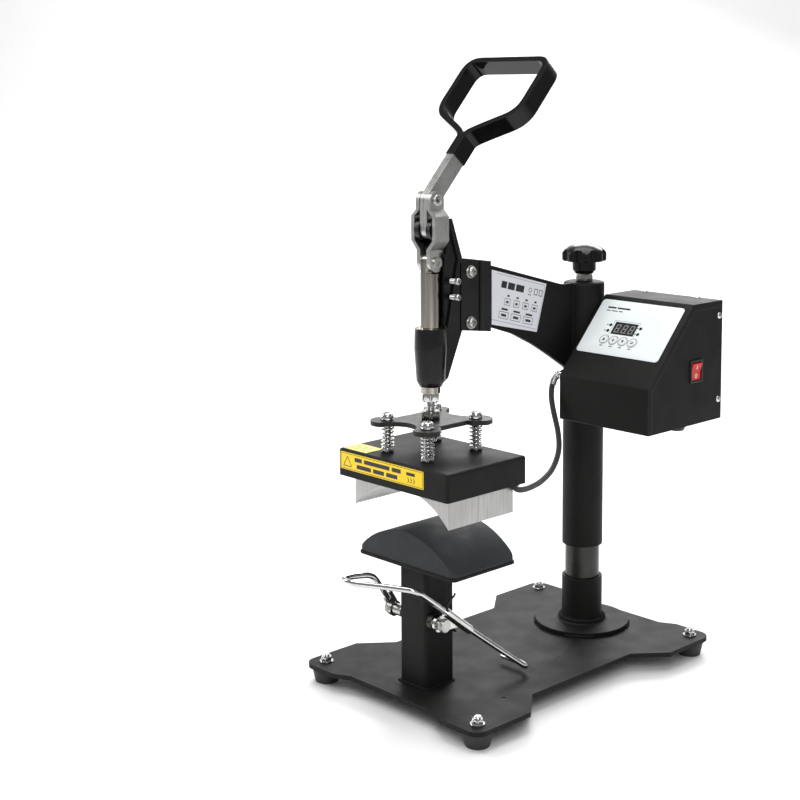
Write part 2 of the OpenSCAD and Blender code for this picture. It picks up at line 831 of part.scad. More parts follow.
module box_back() {
  color("#222323") place() difference() {
    union() {
      translate([box_left + 0.5, box_rear - sheet, box_z + 0.5])
        cube([box_w - 1, sheet, box_h - 1]);
      translate([box_left + sheet, box_rear - 14, box_top - 2 * sheet])
        cube([box_w - 2 * sheet, 14, sheet]);
      translate([box_right - 2 * sheet, box_rear - 14, box_z + sheet])
        cube([sheet, 14, box_h - 2 * sheet]);
    }
    for (x = [43, 113.5]) translate([x, 170, box_top - 10]) cylinder(h = 12, d = 3.6);
    for (z = [291.5, 382]) across(box_right - 10, box_right + 2, 170, z, 3.6);
  }
}

module box_screws() {
  color("#d6d7d9") place() {
    for (x = [43, 113.5]) translate([x, 170, 0]) {
      translate([0, 0, box_top]) cylinder(h = 2, d1 = 7, d2 = 5);
    }
    for (z = [291.5, 382]) translate([box_right, 170, z]) rotate([0, 90, 0])
      cylinder(h = 2, d1 = 7, d2 = 5);
  }
}

module box_bracket() {
  color("#9b9da0") place() difference() {
    translate([box_left - 8, 97, 300]) cube([8, 40, 60]);
    translate([0, column_y, 290]) cylinder(h = 80, d = tube_d + 0.02);
    for (y = [103, 131]) for (z = [310, 350]) across(box_left - 4.2, box_left + 2, y, z, 5);
  }
}

module bracket_screws() {
  color("#b5b7ba") place() for (y = [103, 131]) for (z = [310, 350]) {
    across(box_left - 4, box_left + 3, y, z, 4.96);
    across(box_left + sheet, box_left + 4.5, y, z, 9);
  }
}

module panel_overlay() {
  color("#c9d3d8") difference() {
    on_slope(81, 68.4, 0) translate([-55, -35.6, 0]) cube([110, 71, 0.4]);
    on_slope(74, 68, 0) cube([30.4, 16, 4], center = true);
    for (x = key_x) on_slope(x, 52, -1) cylinder(h = 3, d = 9.4);
    for (p = [[54, 71], [54, 63.5], [94, 71], [94, 63.5]])
      on_slope(p[0], p[1], -1) cylinder(h = 3, d = 3.2);
  }
}

module led_display() {
  color("#3c0f10") on_slope(74, 68, -3.2) cube([30, 15.6, 6.4], center = true);
}

module status_leds() {
  color("#3f6b45") for (p = [[54, 71], [54, 63.5], [94, 71], [94, 63.5]])
    on_slope(p[0], p[1], -5) cylinder(h = 5.5, d = 3);
}

module circuit_board() {
  color("#2c5a3a") difference() {
    on_slope(74, 62, -8.2) cube([90, 60, 1.6], center = true);
    for (p = [[40, 42], [108, 42]]) on_slope(p[0], p[1], -12) cylinder(h = 8, d = 3.2);
  }
}

module board_parts() {
  color("#33363a") {
    for (x = key_x) on_slope(x, 52, -7.4) translate([-3, -3, 0]) cube([6, 6, 2.6]);
    on_slope(66, 66, -25) cube([20, 16, 16]);
  }
}

module transformer() {
  color("#7b5a34") place() {
    translate([96, 62, box_z + sheet]) cube([36, 34, 30]);
    translate([50, 110, box_z + sheet]) cube([26, 44, 24]);
  }
}

module rocker_bezel() {
  color("#151617") place() difference() {
    union() {
      translate([box_right, rocker_y - 10.5, rocker_z - 12]) cube([1.6, 21, 24]);
      translate([box_right - 16, rocker_y - 9.4, rocker_z - 10.9]) cube([17, 18.8, 21.8]);
    }
    translate([box_right - 11, rocker_y - 8.3, rocker_z - 10]) cube([20, 16.6, 20]);
    translate([box_right - 2, rocker_y - 9, rocker_z]) rotate([-90, 0, 0]) cylinder(h = 18, d = 3.14);
  }
}

module rocker() {
  color("#c3201c") place() translate([box_right - 2, rocker_y + 8, rocker_z]) {
    rotate([0, rocker_tilt, 0]) rotate([90, 0, 0]) linear_extrude(16)
      polygon([[-5, -6.5], [-2, -9], [3.7, -9.2], [2.4, 0], [3.76, 9.2], [-2, 9], [-5, 6.5]]);
    translate([0, 0.7, 0]) rotate([90, 0, 0]) cylinder(h = 17.4, d = 3);
  }
}

module mains_gland() {
  color("#1a1a1b") place() translate([118, 131, 0]) difference() {
    union() {
      translate([0, 0, box_z - 5]) cylinder(h = 5, d = 22);
      translate([0, 0, box_z - 5.2]) cylinder(h = 8.5, d = 15.9);
      translate([0, 0, box_z - 10]) cylinder(h = 5, d1 = 15, d2 = 19);
    }
    translate([0, 0, box_z - 20]) cylinder(h = 30, d = 8);
  }
}

module lead_gland() {
  color("#b9babd") place() difference() {
    union() {
      across(box_left - 2.5, box_left, 56, 317, 11.5);
      across(box_left - 2.5, box_left + 4, 56, 317, 8.8);
    }
    across(box_left - 10, box_left + 6, 56, 317, 6.6);
  }
}

// ---------------------------------------------------------------- panel keys
module key_cap(x) {
  color("#e9eaea") on_slope(x, 52, -3.8) {
    cylinder(h = 4.9, d = 8.8);
    cylinder(h = 1.6, d = 10.6);
  }
}

module key_menu() {
  key_cap(key_x[0]);
}

module key_down() {
  key_cap(key_x[1]);
}

module key_up() {
  key_cap(key_x[2]);
}

module key_set() {
  key_cap(key_x[3]);
}

// ---------------------------------------------------------------- grouped pieces
module base_bolts() {
  foot_bolts();
  flange_bolts();
  platen_bolt();
}

module fixed_post() {
  post();
  post_plug();
}

module tube_end() {
  tube_cap();
  lock_nut();
}

module bronze_bushes() {
  tube_bushes();
  barrel_bush();
}

module link_plates() {
  toggle_links();
  link_studs();
}

module plunger() {
  plunger_rod();
  rod_pin();
}

module rod_stud() {
  spider_stud();
  rod_nut();
}

module spring_screws() {
  spring_bolts();
  seat_nuts();
}

module head_labels() {
  front_label();
  top_label();
}

module box_fasteners() {
  box_screws();
  bracket_screws();
}

module display_leds() {
  led_display();
  status_leds();
}

module power_parts() {
  board_parts();
  transformer();
}

base_plate();
rubber_feet();
base_bolts();
post_flange();
fixed_post();
pedestal();
pad_plate();
heat_pad();
bail_bolt();
bail_spring();
bail_wire();
bail_tabs();
thrust_pad();
height_screw();
star_knob();
swing_tube();
tube_end();
bronze_bushes();
arm_plate();
spec_label();
press_casting();
clamp_bolts();
set_screws();
lever_pin();
lever_strap();
handle_grip();
crank_pin();
link_plates();
plunger();
spider_plate();
rod_stud();
spider_nuts();
heater_block();
head_cover();
head_tray();
heating_element();
insulation();
spacer_tubes();
thermostat();
spring_screws();
head_springs();
head_labels();
head_grommet();
heater_lead();
box_shell();
box_back();
box_fasteners();
box_bracket();
panel_overlay();
display_leds();
circuit_board();
power_parts();
rocker_bezel();
rocker();
mains_gland();
lead_gland();
key_menu();
key_down();
key_up();
key_set();
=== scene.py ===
"""Swing-away cap heat press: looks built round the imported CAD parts. Metres, row frame."""

import json
import math

import bmesh
import bpy
from mathutils import Matrix, Vector


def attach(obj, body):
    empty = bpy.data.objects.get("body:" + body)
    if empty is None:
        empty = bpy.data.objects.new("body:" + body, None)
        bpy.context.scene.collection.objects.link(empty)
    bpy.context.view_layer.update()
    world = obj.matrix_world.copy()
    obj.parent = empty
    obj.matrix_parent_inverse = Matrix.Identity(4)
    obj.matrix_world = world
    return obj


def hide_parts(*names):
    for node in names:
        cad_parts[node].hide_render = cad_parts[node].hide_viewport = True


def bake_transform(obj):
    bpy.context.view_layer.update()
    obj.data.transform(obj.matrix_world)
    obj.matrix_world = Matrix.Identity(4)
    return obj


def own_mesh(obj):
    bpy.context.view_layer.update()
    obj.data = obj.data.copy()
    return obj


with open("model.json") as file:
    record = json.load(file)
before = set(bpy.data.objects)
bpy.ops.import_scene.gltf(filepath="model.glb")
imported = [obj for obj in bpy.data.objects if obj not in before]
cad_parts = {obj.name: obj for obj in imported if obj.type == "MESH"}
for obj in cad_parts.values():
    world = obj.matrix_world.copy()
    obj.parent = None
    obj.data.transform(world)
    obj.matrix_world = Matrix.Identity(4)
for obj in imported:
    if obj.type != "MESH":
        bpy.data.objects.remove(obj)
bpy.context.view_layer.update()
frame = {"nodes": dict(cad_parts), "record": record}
NODES = frame["nodes"]
MM = 0.001
SHIFT = Vector((-0.0085, 0.0115, 0))  # machine axis to the middle of the object's box
X, Y, Z = Vector((1, 0, 0)), Vector((0, 1, 0)), Vector((0, 0, 1))
VIEW_HEADING, VIEW_PITCH, VIEW_ROLL = math.radians(46.86), math.radians(6.65), math.radians(0.4)
VIEW_PLACE, VIEW_LENS, VIEW_SHIFT = (1071.0, -1165.8, 627.5), 67.96, -0.1729


def at(x, y, z):
    """A point given in millimetres from the machine's centre plane, in the row frame."""
    return Vector((x, y, z)) * MM + SHIFT


def placed(name, data):
    """A new object in the scene with this mesh, curve, lamp or camera."""
    obj = bpy.data.objects.new(name, data)
    bpy.context.scene.collection.objects.link(obj)
    return obj


# ---------------------------------------------------------------- camera
def add_camera():
    """The camera stands where the photograph was taken from, looking along the same line."""
    level = math.cos(VIEW_PITCH)
    forward = Vector((
        -math.sin(VIEW_HEADING) * level, math.cos(VIEW_HEADING) * level, -math.sin(VIEW_PITCH)
    ))
    right = forward.cross(Z).normalized()
    up = right.cross(forward)
    turn = Matrix.Rotation(VIEW_ROLL, 3, forward)
    right, up = turn @ right, turn @ up
    data = bpy.data.cameras.new("camera")
    data.sensor_width, data.lens, data.shift_y = 36, VIEW_LENS, VIEW_SHIFT
    data.clip_start, data.clip_end = 0.05, 20
    camera = placed("camera", data)
    basis = Matrix((right, up, -forward)).transposed().to_4x4()
    camera.matrix_world = Matrix.Translation(at(*VIEW_PLACE)) @ basis
    bpy.context.scene.camera = camera


add_camera()

# ---------------------------------------------------------------- sizes, millimetres
COLUMN_Y, TUBE_D = 117, 45
ROD_Y = -121
PIVOT_Z, CRANK, LINK = 485, 29.5, 62.2
PIN_A, PIN_B = PIVOT_Z + CRANK, PIVOT_Z + CRANK - LINK
HEAD_Y, BOLT_X, BOLT_DY = -120, 29, 34
SPIDER_Z, SPIDER_T = 288.3, 4.7
COVER_TOP = 259.5
BOX_LEFT, BOX_RIGHT, BOX_TOP = 24, 142, 398
BOX_FRONT, SLOPE_Z, SLOPE_DEG = 49, 318.4, 46.6
KEY_X = (55.5, 68, 80.5, 93)
BAIL_Y, BAIL_Z = -141.5, 92.1
FEET = [(x, y) for x in (-111, 111) for y in (-169, 169)]
HEAD_BOLTS = [(x, HEAD_Y + y) for x in (-BOLT_X, BOLT_X) for y in (-BOLT_DY, BOLT_DY)]
LEAD_R = 3.0
LEAD_ROUTE = [
    (72.6, -76, 246), (72.6, -76, 233), (72.6, -75, 226.5), (71.5, -66, 222.5),
    (66, -45, 220), (58, -18, 220), (48, 11, 225.5), (39, 32, 241), (30, 40, 259),
    (23, 41, 277), (17, 43, 293), (13.5, 48, 304), (12.5, 53, 312), (15.5, 56, 317),
    (21, 56, 317), (34, 56, 317),
]
BAIL_ROUTE = [
    (-33, -150, 104.3), (-34, -171, 134.5), (-43, -194, 135.5), (-42, -205, 136),
    (-30, -208, 136), (-19, -201, 135), (8, -187, 135), (33, -174, 134),
    (33, -98, 75), (62, -44, 28.5), (50, -38, 28.5), (20, -38, 28.5),
]


# ---------------------------------------------------------------- shader helpers
class Shader:
    """A node material built from a few named layers of noise, colour and relief."""

    def __init__(self, name, color, rough=0.5, metal=0.0, **extra):
        self.material = bpy.data.materials.new(name)
        self.material.use_nodes = True
        self.tree = self.material.node_tree
        self.tree.nodes.clear()
        self.out = self.add("ShaderNodeOutputMaterial")
        self.skin = self.add("ShaderNodeBsdfPrincipled")
        self.tree.links.new(self.skin.outputs["BSDF"], self.out.inputs["Surface"])
        self.skin.inputs["Base Color"].default_value = (*color, 1)
        self.skin.inputs["Roughness"].default_value = rough
        self.skin.inputs["Metallic"].default_value = metal
        for socket, value in extra.items():
            self.skin.inputs[socket.replace("_", " ")].default_value = value
        self.color = color
        self.place = self.add("ShaderNodeTexCoord").outputs["Object"]
        self.relief = None

    def add(self, kind, **settings):
        node = self.tree.nodes.new(kind)
        for key, value in settings.items():
            setattr(node, key, value)
        return node

    def put(self, socket, value):
        if isinstance(value, bpy.types.NodeSocket):
            self.tree.links.new(value, socket)
        else:
            socket.default_value = value

    def stretch(self, x, y, z):
        node = self.add("ShaderNodeMapping")
        self.put(node.inputs["Vector"], self.place)
        self.put(node.inputs["Scale"], (x, y, z))
        return node.outputs["Vector"]

    def noise(self, scale, detail=3.0, vector=None, rough=0.5):
        node = self.add("ShaderNodeTexNoise")
        self.put(node.inputs["Vector"], vector or self.place)
        self.put(node.inputs["Scale"], scale)
        self.put(node.inputs["Detail"], detail)
        self.put(node.inputs["Roughness"], rough)
        return node.outputs["Fac"]

    def cells(self, scale, feature="F1"):
        node = self.add("ShaderNodeTexVoronoi", feature=feature)
        self.put(node.inputs["Vector"], self.place)
        self.put(node.inputs["Scale"], scale)
        return node.outputs["Distance"]

    def ramp(self, value, low, high, bottom=0.0, top=1.0):
        node = self.add("ShaderNodeMapRange")
        for socket, number in (
            ("Value", value), ("From Min", low), ("From Max", high), ("To Min", bottom), ("To Max", top)
        ):
            self.put(node.inputs[socket], number)
        return node.outputs["Result"]

    def maths(self, action, a, b=0.0):
        """A Math node on a and b, each a number or a socket."""
        node = self.add("ShaderNodeMath", operation=action)
        self.put(node.inputs[0], a)
        self.put(node.inputs[1], b)
        return node.outputs["Value"]

    def mix(self, factor, a, b):
        node = self.add("ShaderNodeMix", data_type="RGBA")
        self.put(node.inputs["Factor"], factor)
        self.put(node.inputs[6], a if isinstance(a, bpy.types.NodeSocket) else (*a, 1))
        self.put(node.inputs[7], b if isinstance(b, bpy.types.NodeSocket) else (*b, 1))
        return node.outputs[2]

    def tint(self, factor, other):
        """Blends the base colour towards another one where factor is high."""
        old = self.skin.inputs["Base Color"]
        now = old.links[0].from_socket if old.links else self.color
        self.put(old, self.mix(factor, now, other))
        return self

    def gloss(self, factor, low, high):
        self.put(self.skin.inputs["Roughness"], self.ramp(factor, 0, 1, low, high))
        return self

    def bump(self, height, strength, distance):
        node = self.add("ShaderNodeBump")
        self.put(node.inputs["Strength"], strength)
        self.put(node.inputs["Distance"], distance)
        self.put(node.inputs["Height"], height)
        if self.relief:
            self.put(node.inputs["Normal"], self.relief)
        self.relief = node.outputs["Normal"]
        self.put(self.skin.inputs["Normal"], self.relief)
        return self

    def edges(self, color, width=0.0009, amount=0.4):
        """Rubbed edges, found where the rounded normal leaves the flat one."""
        bevel = self.add("ShaderNodeBevel", samples=4)
        self.put(bevel.inputs["Radius"], width)
        geometry = self.add("ShaderNodeNewGeometry")
        dot = self.add("ShaderNodeVectorMath", operation="DOT_PRODUCT")
        self.put(dot.inputs[0], bevel.outputs["Normal"])
        self.put(dot.inputs[1], geometry.outputs["Normal"])
        near = self.ramp(dot.outputs["Value"], 0.985, 0.85, 0, amount)
        return self.tint(near, color)


def lighter(color, k):
    """The colour made k times as bright, or darker where k is below 1."""
    return tuple(min(1, c * k) for c in color)


def powder_black(name, color=(0.0062, 0.0062, 0.0056), rough=0.56):
    """Satin black powder coat: fine leathery skin, faint dust and rubbed edges."""
    s = Shader(name, color, rough, Specular_IOR_Level=0.2)
    s.tint(s.ramp(s.noise(7, 5), 0.42, 0.7, 0, 0.45), lighter(color, 1.3))
    s.tint(s.ramp(s.noise(900, 2), 0.58, 0.74, 0, 0.35), lighter(color, 2.0))
    s.gloss(s.noise(38, 5), rough * 0.8, rough * 1.25)
    s.bump(s.cells(1100, "SMOOTH_F1"), 0.1, 0.0003)
    s.bump(s.noise(420, 4), 0.14, 0.0004)
    s.edges(lighter(color, 4.0), 0.0008, 0.45)
    return s.material


def gloss_black(name, color=(0.004, 0.004, 0.0043), rough=0.2, coat=0.22, casting=False):
    """Thick black enamel; on a casting the sand texture shows through."""
    s = Shader(name, color, rough, Coat_Weight=coat, Coat_Roughness=0.12, Specular_IOR_Level=0.2)
    s.tint(s.ramp(s.noise(40, 5), 0.5, 0.8, 0, 0.4), lighter(color, 2.2))
    s.gloss(s.noise(90, 4), rough * 0.75, rough * 1.6)
    if casting:
        s.bump(s.noise(300, 5, rough=0.62), 0.55, 0.0009)
    s.bump(s.noise(1400, 2), 0.1, 0.0003)
    return s.material


def bright_metal(name, color=(0.82, 0.82, 0.82), rough=0.12, grain=0.06, scale=500):
    """Plated or polished metal with faint hairlines and handling marks."""
    s = Shader(name, color, rough, 1.0)
    s.tint(s.ramp(s.noise(60, 5), 0.42, 0.7, 0, 0.5), lighter(color, 0.66))
    s.tint(s.ramp(s.noise(700, 3), 0.55, 0.7, 0, 0.45), lighter(color, 0.45))
    s.gloss(s.noise(120, 5), rough * 0.6, rough * 1.7)
    s.bump(s.noise(scale, 3), grain, 0.0003)
    return s.material


def turned_metal(name, color, rough=0.22, rings=(20, 20, 900), streak_and_reflection=0.3):
    """Turned or drawn steel: fine lines across the long axis, or streaks along it. Strong streaks along it
    are partly drawn lines and mostly painted reflection of the surroundings.
    """
    s = Shader(name, color, rough, 1.0)
    fine = s.noise(1.0, 4, vector=s.stretch(*rings))
    # Darkened lines: turning or drawing marks, and at a high amount, along the axis, a painted reflection
    # of the dark surroundings.
    s.tint(s.ramp(fine, 0.4, 0.75 - 0.2 * streak_and_reflection, 0, streak_and_reflection), lighter(color, 0.9 - 0.7 * streak_and_reflection))
    s.tint(s.ramp(s.noise(16, 4), 0.5, 0.75, 0, 0.3), lighter(color, 0.82))
    s.gloss(s.noise(80, 4), rough * 0.7, rough * 1.5)
    s.bump(fine, 0.12, 0.0003)
    return s.material


def moulded(name, color, rough=0.4, grain=0.15, scale=900, dust=0.25, **extra):
    """Moulded plastic or rubber with a fine spark texture and some dust."""
    s = Shader(name, color, rough, **extra)
    dusty = tuple(min(1, c * 1.6 + 0.007) for c in color)
    s.tint(s.ramp(s.noise(25, 5), 0.45, 0.8, 0, dust), dusty)
    s.gloss(s.noise(140, 4), rough * 0.8, min(1, rough * 1.3))
    s.bump(s.noise(scale, 3), grain, 0.0004)
    return s.material


def silicone_foam(name):
    """Dark slate silicone foam: closed skin with pits, chalky dust and rubbed patches."""
    s = Shader(name, (0.024, 0.028, 0.031), 0.58, Specular_IOR_Level=0.3)
    s.tint(s.ramp(s.noise(14, 6), 0.42, 0.68, 0, 0.5), (0.034, 0.038, 0.041))
    s.tint(s.ramp(s.cells(620), 0.12, 0.02, 0, 0.6), (0.012, 0.014, 0.016))
    s.tint(s.ramp(s.noise(1500, 2), 0.6, 0.72, 0, 0.35), (0.08, 0.086, 0.09))
    s.tint(s.ramp(s.cells(34), 0.05, 0.02, 0, 0.3), (0.1, 0.105, 0.105))
    s.gloss(s.noise(50, 4), 0.5, 0.78)
    s.bump(s.cells(620), 0.3, 0.0005)
    s.bump(s.noise(1800, 3), 0.2, 0.0004)
    return s.material


def cast_aluminium(name):
    """Milled aluminium: upright cutter lines, a few dull patches and small nicks."""
    s = Shader(name, (0.52, 0.515, 0.51), 0.34, 1.0)
    lines = s.noise(1.0, 5, vector=s.stretch(800, 800, 14))
    s.tint(s.ramp(s.noise(18, 6), 0.42, 0.7, 0, 0.4), (0.33, 0.325, 0.315))
    s.tint(s.ramp(lines, 0.42, 0.7, 0, 0.6), (0.26, 0.255, 0.25))
    s.gloss(s.noise(60, 5), 0.3, 0.5)
    s.bump(lines, 0.22, 0.0005)
    s.bump(s.noise(420, 4), 0.12, 0.0005)
    return s.material


def braid(name):
    """Woven sleeve: two families of threads crossing round the lead, from its own u and v."""
    s = Shader(name, (0.008, 0.008, 0.0085), 0.6, Sheen_Weight=0.12, Sheen_Roughness=0.4)
    split = s.add("ShaderNodeSeparateXYZ")
    uv = s.add("ShaderNodeUVMap", uv_map="UVMap")
    s.put(split.inputs["Vector"], uv.outputs["UV"])
    u, v = split.outputs["X"], split.outputs["Y"]
    left = s.maths("SINE", s.maths("MULTIPLY", s.maths("ADD", u, v), 2 * math.pi * 8))
    right = s.maths("SINE", s.maths("MULTIPLY", s.maths("SUBTRACT", u, v), 2 * math.pi * 8))
    weave = s.maths("MAXIMUM", left, right)
    s.tint(s.ramp(weave, 0.1, 0.95, 0, 0.8), (0.026, 0.026, 0.027))
    s.tint(s.ramp(s.noise(220, 3), 0.62, 0.75, 0, 0.3), (0.06, 0.06, 0.062))
    s.bump(weave, 0.6, 0.0005)
    return s.material


def circuit_green(name):
    """Solder mask with paler tracks that stand up a little."""
    s = Shader(name, (0.03, 0.16, 0.07), 0.35, Coat_Weight=0.4)
    tracks = s.cells(160, "DISTANCE_TO_EDGE")
    s.tint(s.ramp(tracks, 0.03, 0.06, 0.8, 0), (0.08, 0.3, 0.12))
    s.bump(tracks, 0.2, 0.0003)
    return s.material


def printed(name, color, rough=0.25, coat=0.5):
    """Printed film with a faint screen texture under a clear face."""
    s = Shader(name, color, rough, Coat_Weight=coat, Coat_Roughness=0.12)
    s.tint(s.ramp(s.noise(1600, 2), 0.5, 0.7, 0, 0.12), lighter(color, 0.8))
    s.tint(s.ramp(s.noise(20, 4), 0.5, 0.75, 0, 0.12), lighter(color, 0.85))
    s.gloss(s.noise(45, 4), rough * 0.8, rough * 1.4)
    s.bump(s.noise(160, 3), 0.05, 0.0004)
    return s.material


DULL = {"Specular_IOR_Level": 0.3}
MATERIALS = {
    "black_powder": powder_black("black_powder"),
    "dark_steel": turned_metal("dark_steel", (0.06, 0.06, 0.056), 0.34, (30, 30, 300)),
    "black_paint": gloss_black("black_paint", (0.016, 0.016, 0.015), 0.36, 0.1),
    "casting_black": gloss_black("casting_black", casting=True),
    "chrome": bright_metal("chrome", (0.7, 0.7, 0.69)),
    "zinc": bright_metal("zinc", (0.54, 0.54, 0.52), 0.27, 0.25, 380),
    # turned_steel: its strong dark streaks along the rod are painted reflection of the surroundings, with
    # only a little real drawn-bar texture.
    "turned_steel": turned_metal("turned_steel", (0.6, 0.56, 0.5), 0.1, (150, 150, 3), 0.85),
    "dark_nickel": bright_metal("dark_nickel", (0.3, 0.29, 0.27), 0.2, 0.15),
    "black_oxide": bright_metal("black_oxide", (0.07, 0.068, 0.064), 0.3, 0.15, 700),
    "aluminium_cast": cast_aluminium("aluminium_cast"),
    "bronze": turned_metal("bronze", (0.55, 0.45, 0.28), 0.3),
    "rubber": moulded("rubber", (0.02, 0.02, 0.021), 0.6, 0.3, 700, 0.35),
    "pad_foam": silicone_foam("pad_foam"),
    "pvc": moulded("pvc", (0.003, 0.003, 0.0035), 0.12, 0.02, 60, 0.1, **DULL),
    "knob_plastic": moulded("knob_plastic", (0.004, 0.004, 0.0045), 0.2, 0.04, 900, 0.12, **DULL),
    "braid": braid("braid"),
    "label_yellow": printed("label_yellow", (0.98, 0.68, 0.006), 0.45, 0.1),
    "label_pale": printed("label_pale", (0.82, 0.76, 0.1), 0.45, 0.1),
    "label_silver": printed("label_silver", (0.78, 0.78, 0.83), 0.4, 0.1),
    "overlay": printed("overlay", (0.78, 0.83, 0.83), 0.35, 0.15),
    "ink": printed("ink", (0.012, 0.012, 0.013), 0.4, 0.1),
    "ink_grey": printed("ink_grey", (0.2, 0.2, 0.22), 0.4, 0.1),
    "segment_grey": printed("segment_grey", (0.22, 0.23, 0.22), 0.35, 0.4),
    "mark_white": printed("mark_white", (0.85, 0.85, 0.83), 0.35, 0.2),
    "display_red": moulded(
        "display_red", (0.012, 0.011, 0.012), 0.12, 0.02, 300, 0.1, Coat_Weight=0.8
    ),
    "board_green": circuit_green("board_green"),
    "parts_dark": moulded("parts_dark", (0.05, 0.05, 0.055), 0.5),
    "black_plastic": moulded("black_plastic", (0.014, 0.014, 0.015), 0.38),
    "rocker_red": moulded("rocker_red", (0.62, 0.01, 0.008), 0.22, 0.04, 600, 0.15, **DULL),
    "key_white": moulded("key_white", (0.76, 0.79, 0.79), 0.38, 0.1),
    "ceramic": moulded("ceramic", (0.66, 0.62, 0.54), 0.85, 0.5, 300, 0.3),
}

SLOT = {p["node"]: p["material_slot"] for p in frame["record"]["subparts"]}
BODY = {n: b for b, nodes in frame["record"]["behaviour"]["bodies"].items() for n in nodes}
LOOK = {"press_casting": "casting_black", "lever_strap": "zinc", "link_plates": "zinc"}


def look_of(node):
    return LOOK.get(node, SLOT[node])


def dress(obj, material):
    obj.data.materials.clear()
    obj.data.materials.append(MATERIALS[material])


for node, obj in NODES.items():
    dress(obj, look_of(node))


# ---------------------------------------------------------------- mesh helpers
def piece(name, mesh, material, body, stands_for=()):
    """A finished mesh as an object that rides a body and wears the given material."""
    obj = placed(name, mesh)
    dress(obj, material)
    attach(obj, body)
    if stands_for:
        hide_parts(*stands_for)
    return obj


def baked(obj):
    """The object's mesh with its modifiers applied. The object itself is removed."""
    bpy.context.view_layer.update()
    graph = bpy.context.evaluated_depsgraph_get()
    mesh = bpy.data.meshes.new_from_object(
        obj.evaluated_get(graph), preserve_all_data_layers=True, depsgraph=graph
    )
    bpy.data.objects.remove(obj)
    return mesh


def smooth(mesh, degrees=38):
    mesh.polygons.foreach_set("use_smooth", [True] * len(mesh.polygons))
    mesh.set_sharp_from_angle(angle=math.radians(degrees))
    return mesh


HARD_EDGE = 32


def soften(node, width, segments):
    """A copy of a CAD node with every hard edge rounded to width millimetres, in its place."""
    obj = placed(node + "_soft", NODES[node].data.copy())
    build = bmesh.new()
    build.from_mesh(obj.data)
    bmesh.ops.remove_doubles(build, verts=build.verts, dist=0.00001)
    bmesh.ops.dissolve_limit(
        build, angle_limit=math.radians(1.2), verts=build.verts, edges=build.edges,
        use_dissolve_boundaries=False, delimit={"NORMAL"},
    )
    build.to_mesh(obj.data)
    build.free()
    round_off = obj.modifiers.new("round", "BEVEL")
    round_off.width, round_off.segments = width * MM, segments
    round_off.limit_method, round_off.angle_limit = "ANGLE", math.radians(HARD_EDGE)
    round_off.use_clamp_overlap = True
    round_off.miter_outer = "MITER_ARC"
    weigh = obj.modifiers.new("weigh", "WEIGHTED_NORMAL")
    weigh.keep_sharp = True
    obj.data.polygons.foreach_set("use_smooth", [True] * len(obj.data.polygons))
    piece(node + "_finish", baked(obj), look_of(node), BODY[node], (node,))


def angles(count):
    """Evenly spaced angles once round a circle."""
    return [2 * math.pi * k / count for k in range(count)]


def circle(x, y, r, sides=32):
    return [(x + r * math.cos(a), y + r * math.sin(a)) for a in angles(sides)]


class Build:
    """Gathers rings of points in millimetres into one mesh."""

    def __init__(self):
        self.bm = bmesh.new()

    def loft(self, rings):
        """A closed skin over the rings, in order, with both ends capped."""
        rows = [[self.bm.verts.new(at(*p)) for p in ring] for ring in rings]
        for a, b in zip(rows, rows[1:]):
            count = len(a)
            for k in range(count):
                m = (k + 1) % count
                self.bm.faces.new((a[k], a[m], b[m], b[k]))
        self.bm.faces.new(list(reversed(rows[0])))
        self.bm.faces.new(rows[-1])
        return self

    def tube(self, points, radius, sides=12):
        """A round bar along points; radius is a number or one for each point."""
        points = [Vector(p) for p in points]
        normal, rings = None, []
        for i, p in enumerate(points):
            along = (points[min(i + 1, len(points) - 1)] - points[max(i - 1, 0)]).normalized()
            if normal is None:
                normal = along.orthogonal()
            normal = (normal - along * normal.dot(along)).normalized()
            other = along.cross(normal)
            r = radius[i] if isinstance(radius, (list, tuple)) else radius
            rings.append([
                p + r * (math.cos(a) * normal + math.sin(a) * other)
                for a in angles(sides)
            ])
        return self.loft(rings)

    def turned(self, place, axis, profile, sides=48):
        """A lathed solid. A row is (radius, height), or (half flats, height, 6) for a hexagon."""
        axis = Vector(axis).normalized()
        u = axis.orthogonal().normalized()
        v = axis.cross(u)
        place, rings = Vector(place), []
        for row in profile:
            ring = []
            for a in angles(sides):
                r = row[0]
                if len(row) > 2:
                    part = 2 * math.pi / row[2]
                    r /= math.cos((a + part / 2) % part - part / 2)
                ring.append(place + axis * row[1] + r * (math.cos(a) * u + math.sin(a) * v))
            rings.append(ring)
        return self.loft(rings)

    def thread(self, place, axis, diameter, pitch, length, sides=20, step=5):
        """A threaded rod: the radius follows a helix of the given pitch, with chamfered ends."""
        axis = Vector(axis).normalized()
        u = axis.orthogonal().normalized()
        v = axis.cross(u)
        place, depth, rings = Vector(place), 0.6 * pitch, []
        count = max(2, round(length / pitch * step))
        for i in range(count + 1):
            h = length * i / count
            ring = []
            for k, a in enumerate(angles(sides)):
                wave = abs(((h / pitch - k / sides) % 1) * 2 - 1)
                end = max(0.0, 1 - min(h, length - h) / pitch) * 0.5 * depth
                r = diameter / 2 - depth * wave - end * (1 - wave)
                ring.append(place + axis * h + r * (math.cos(a) * u + math.sin(a) * v))
            rings.append(ring)
        return self.loft(rings)

    def mesh(self, name, degrees=38):
        bmesh.ops.recalc_face_normals(self.bm, faces=self.bm.faces)
        mesh = bpy.data.meshes.new(name)
        self.bm.to_mesh(mesh)
        self.bm.free()
        return smooth(mesh, degrees)

    def finish(self, name, material, body, slot, stands_for=(), degrees=38):
        return piece(name, self.mesh(name, degrees), material, body, stands_for)


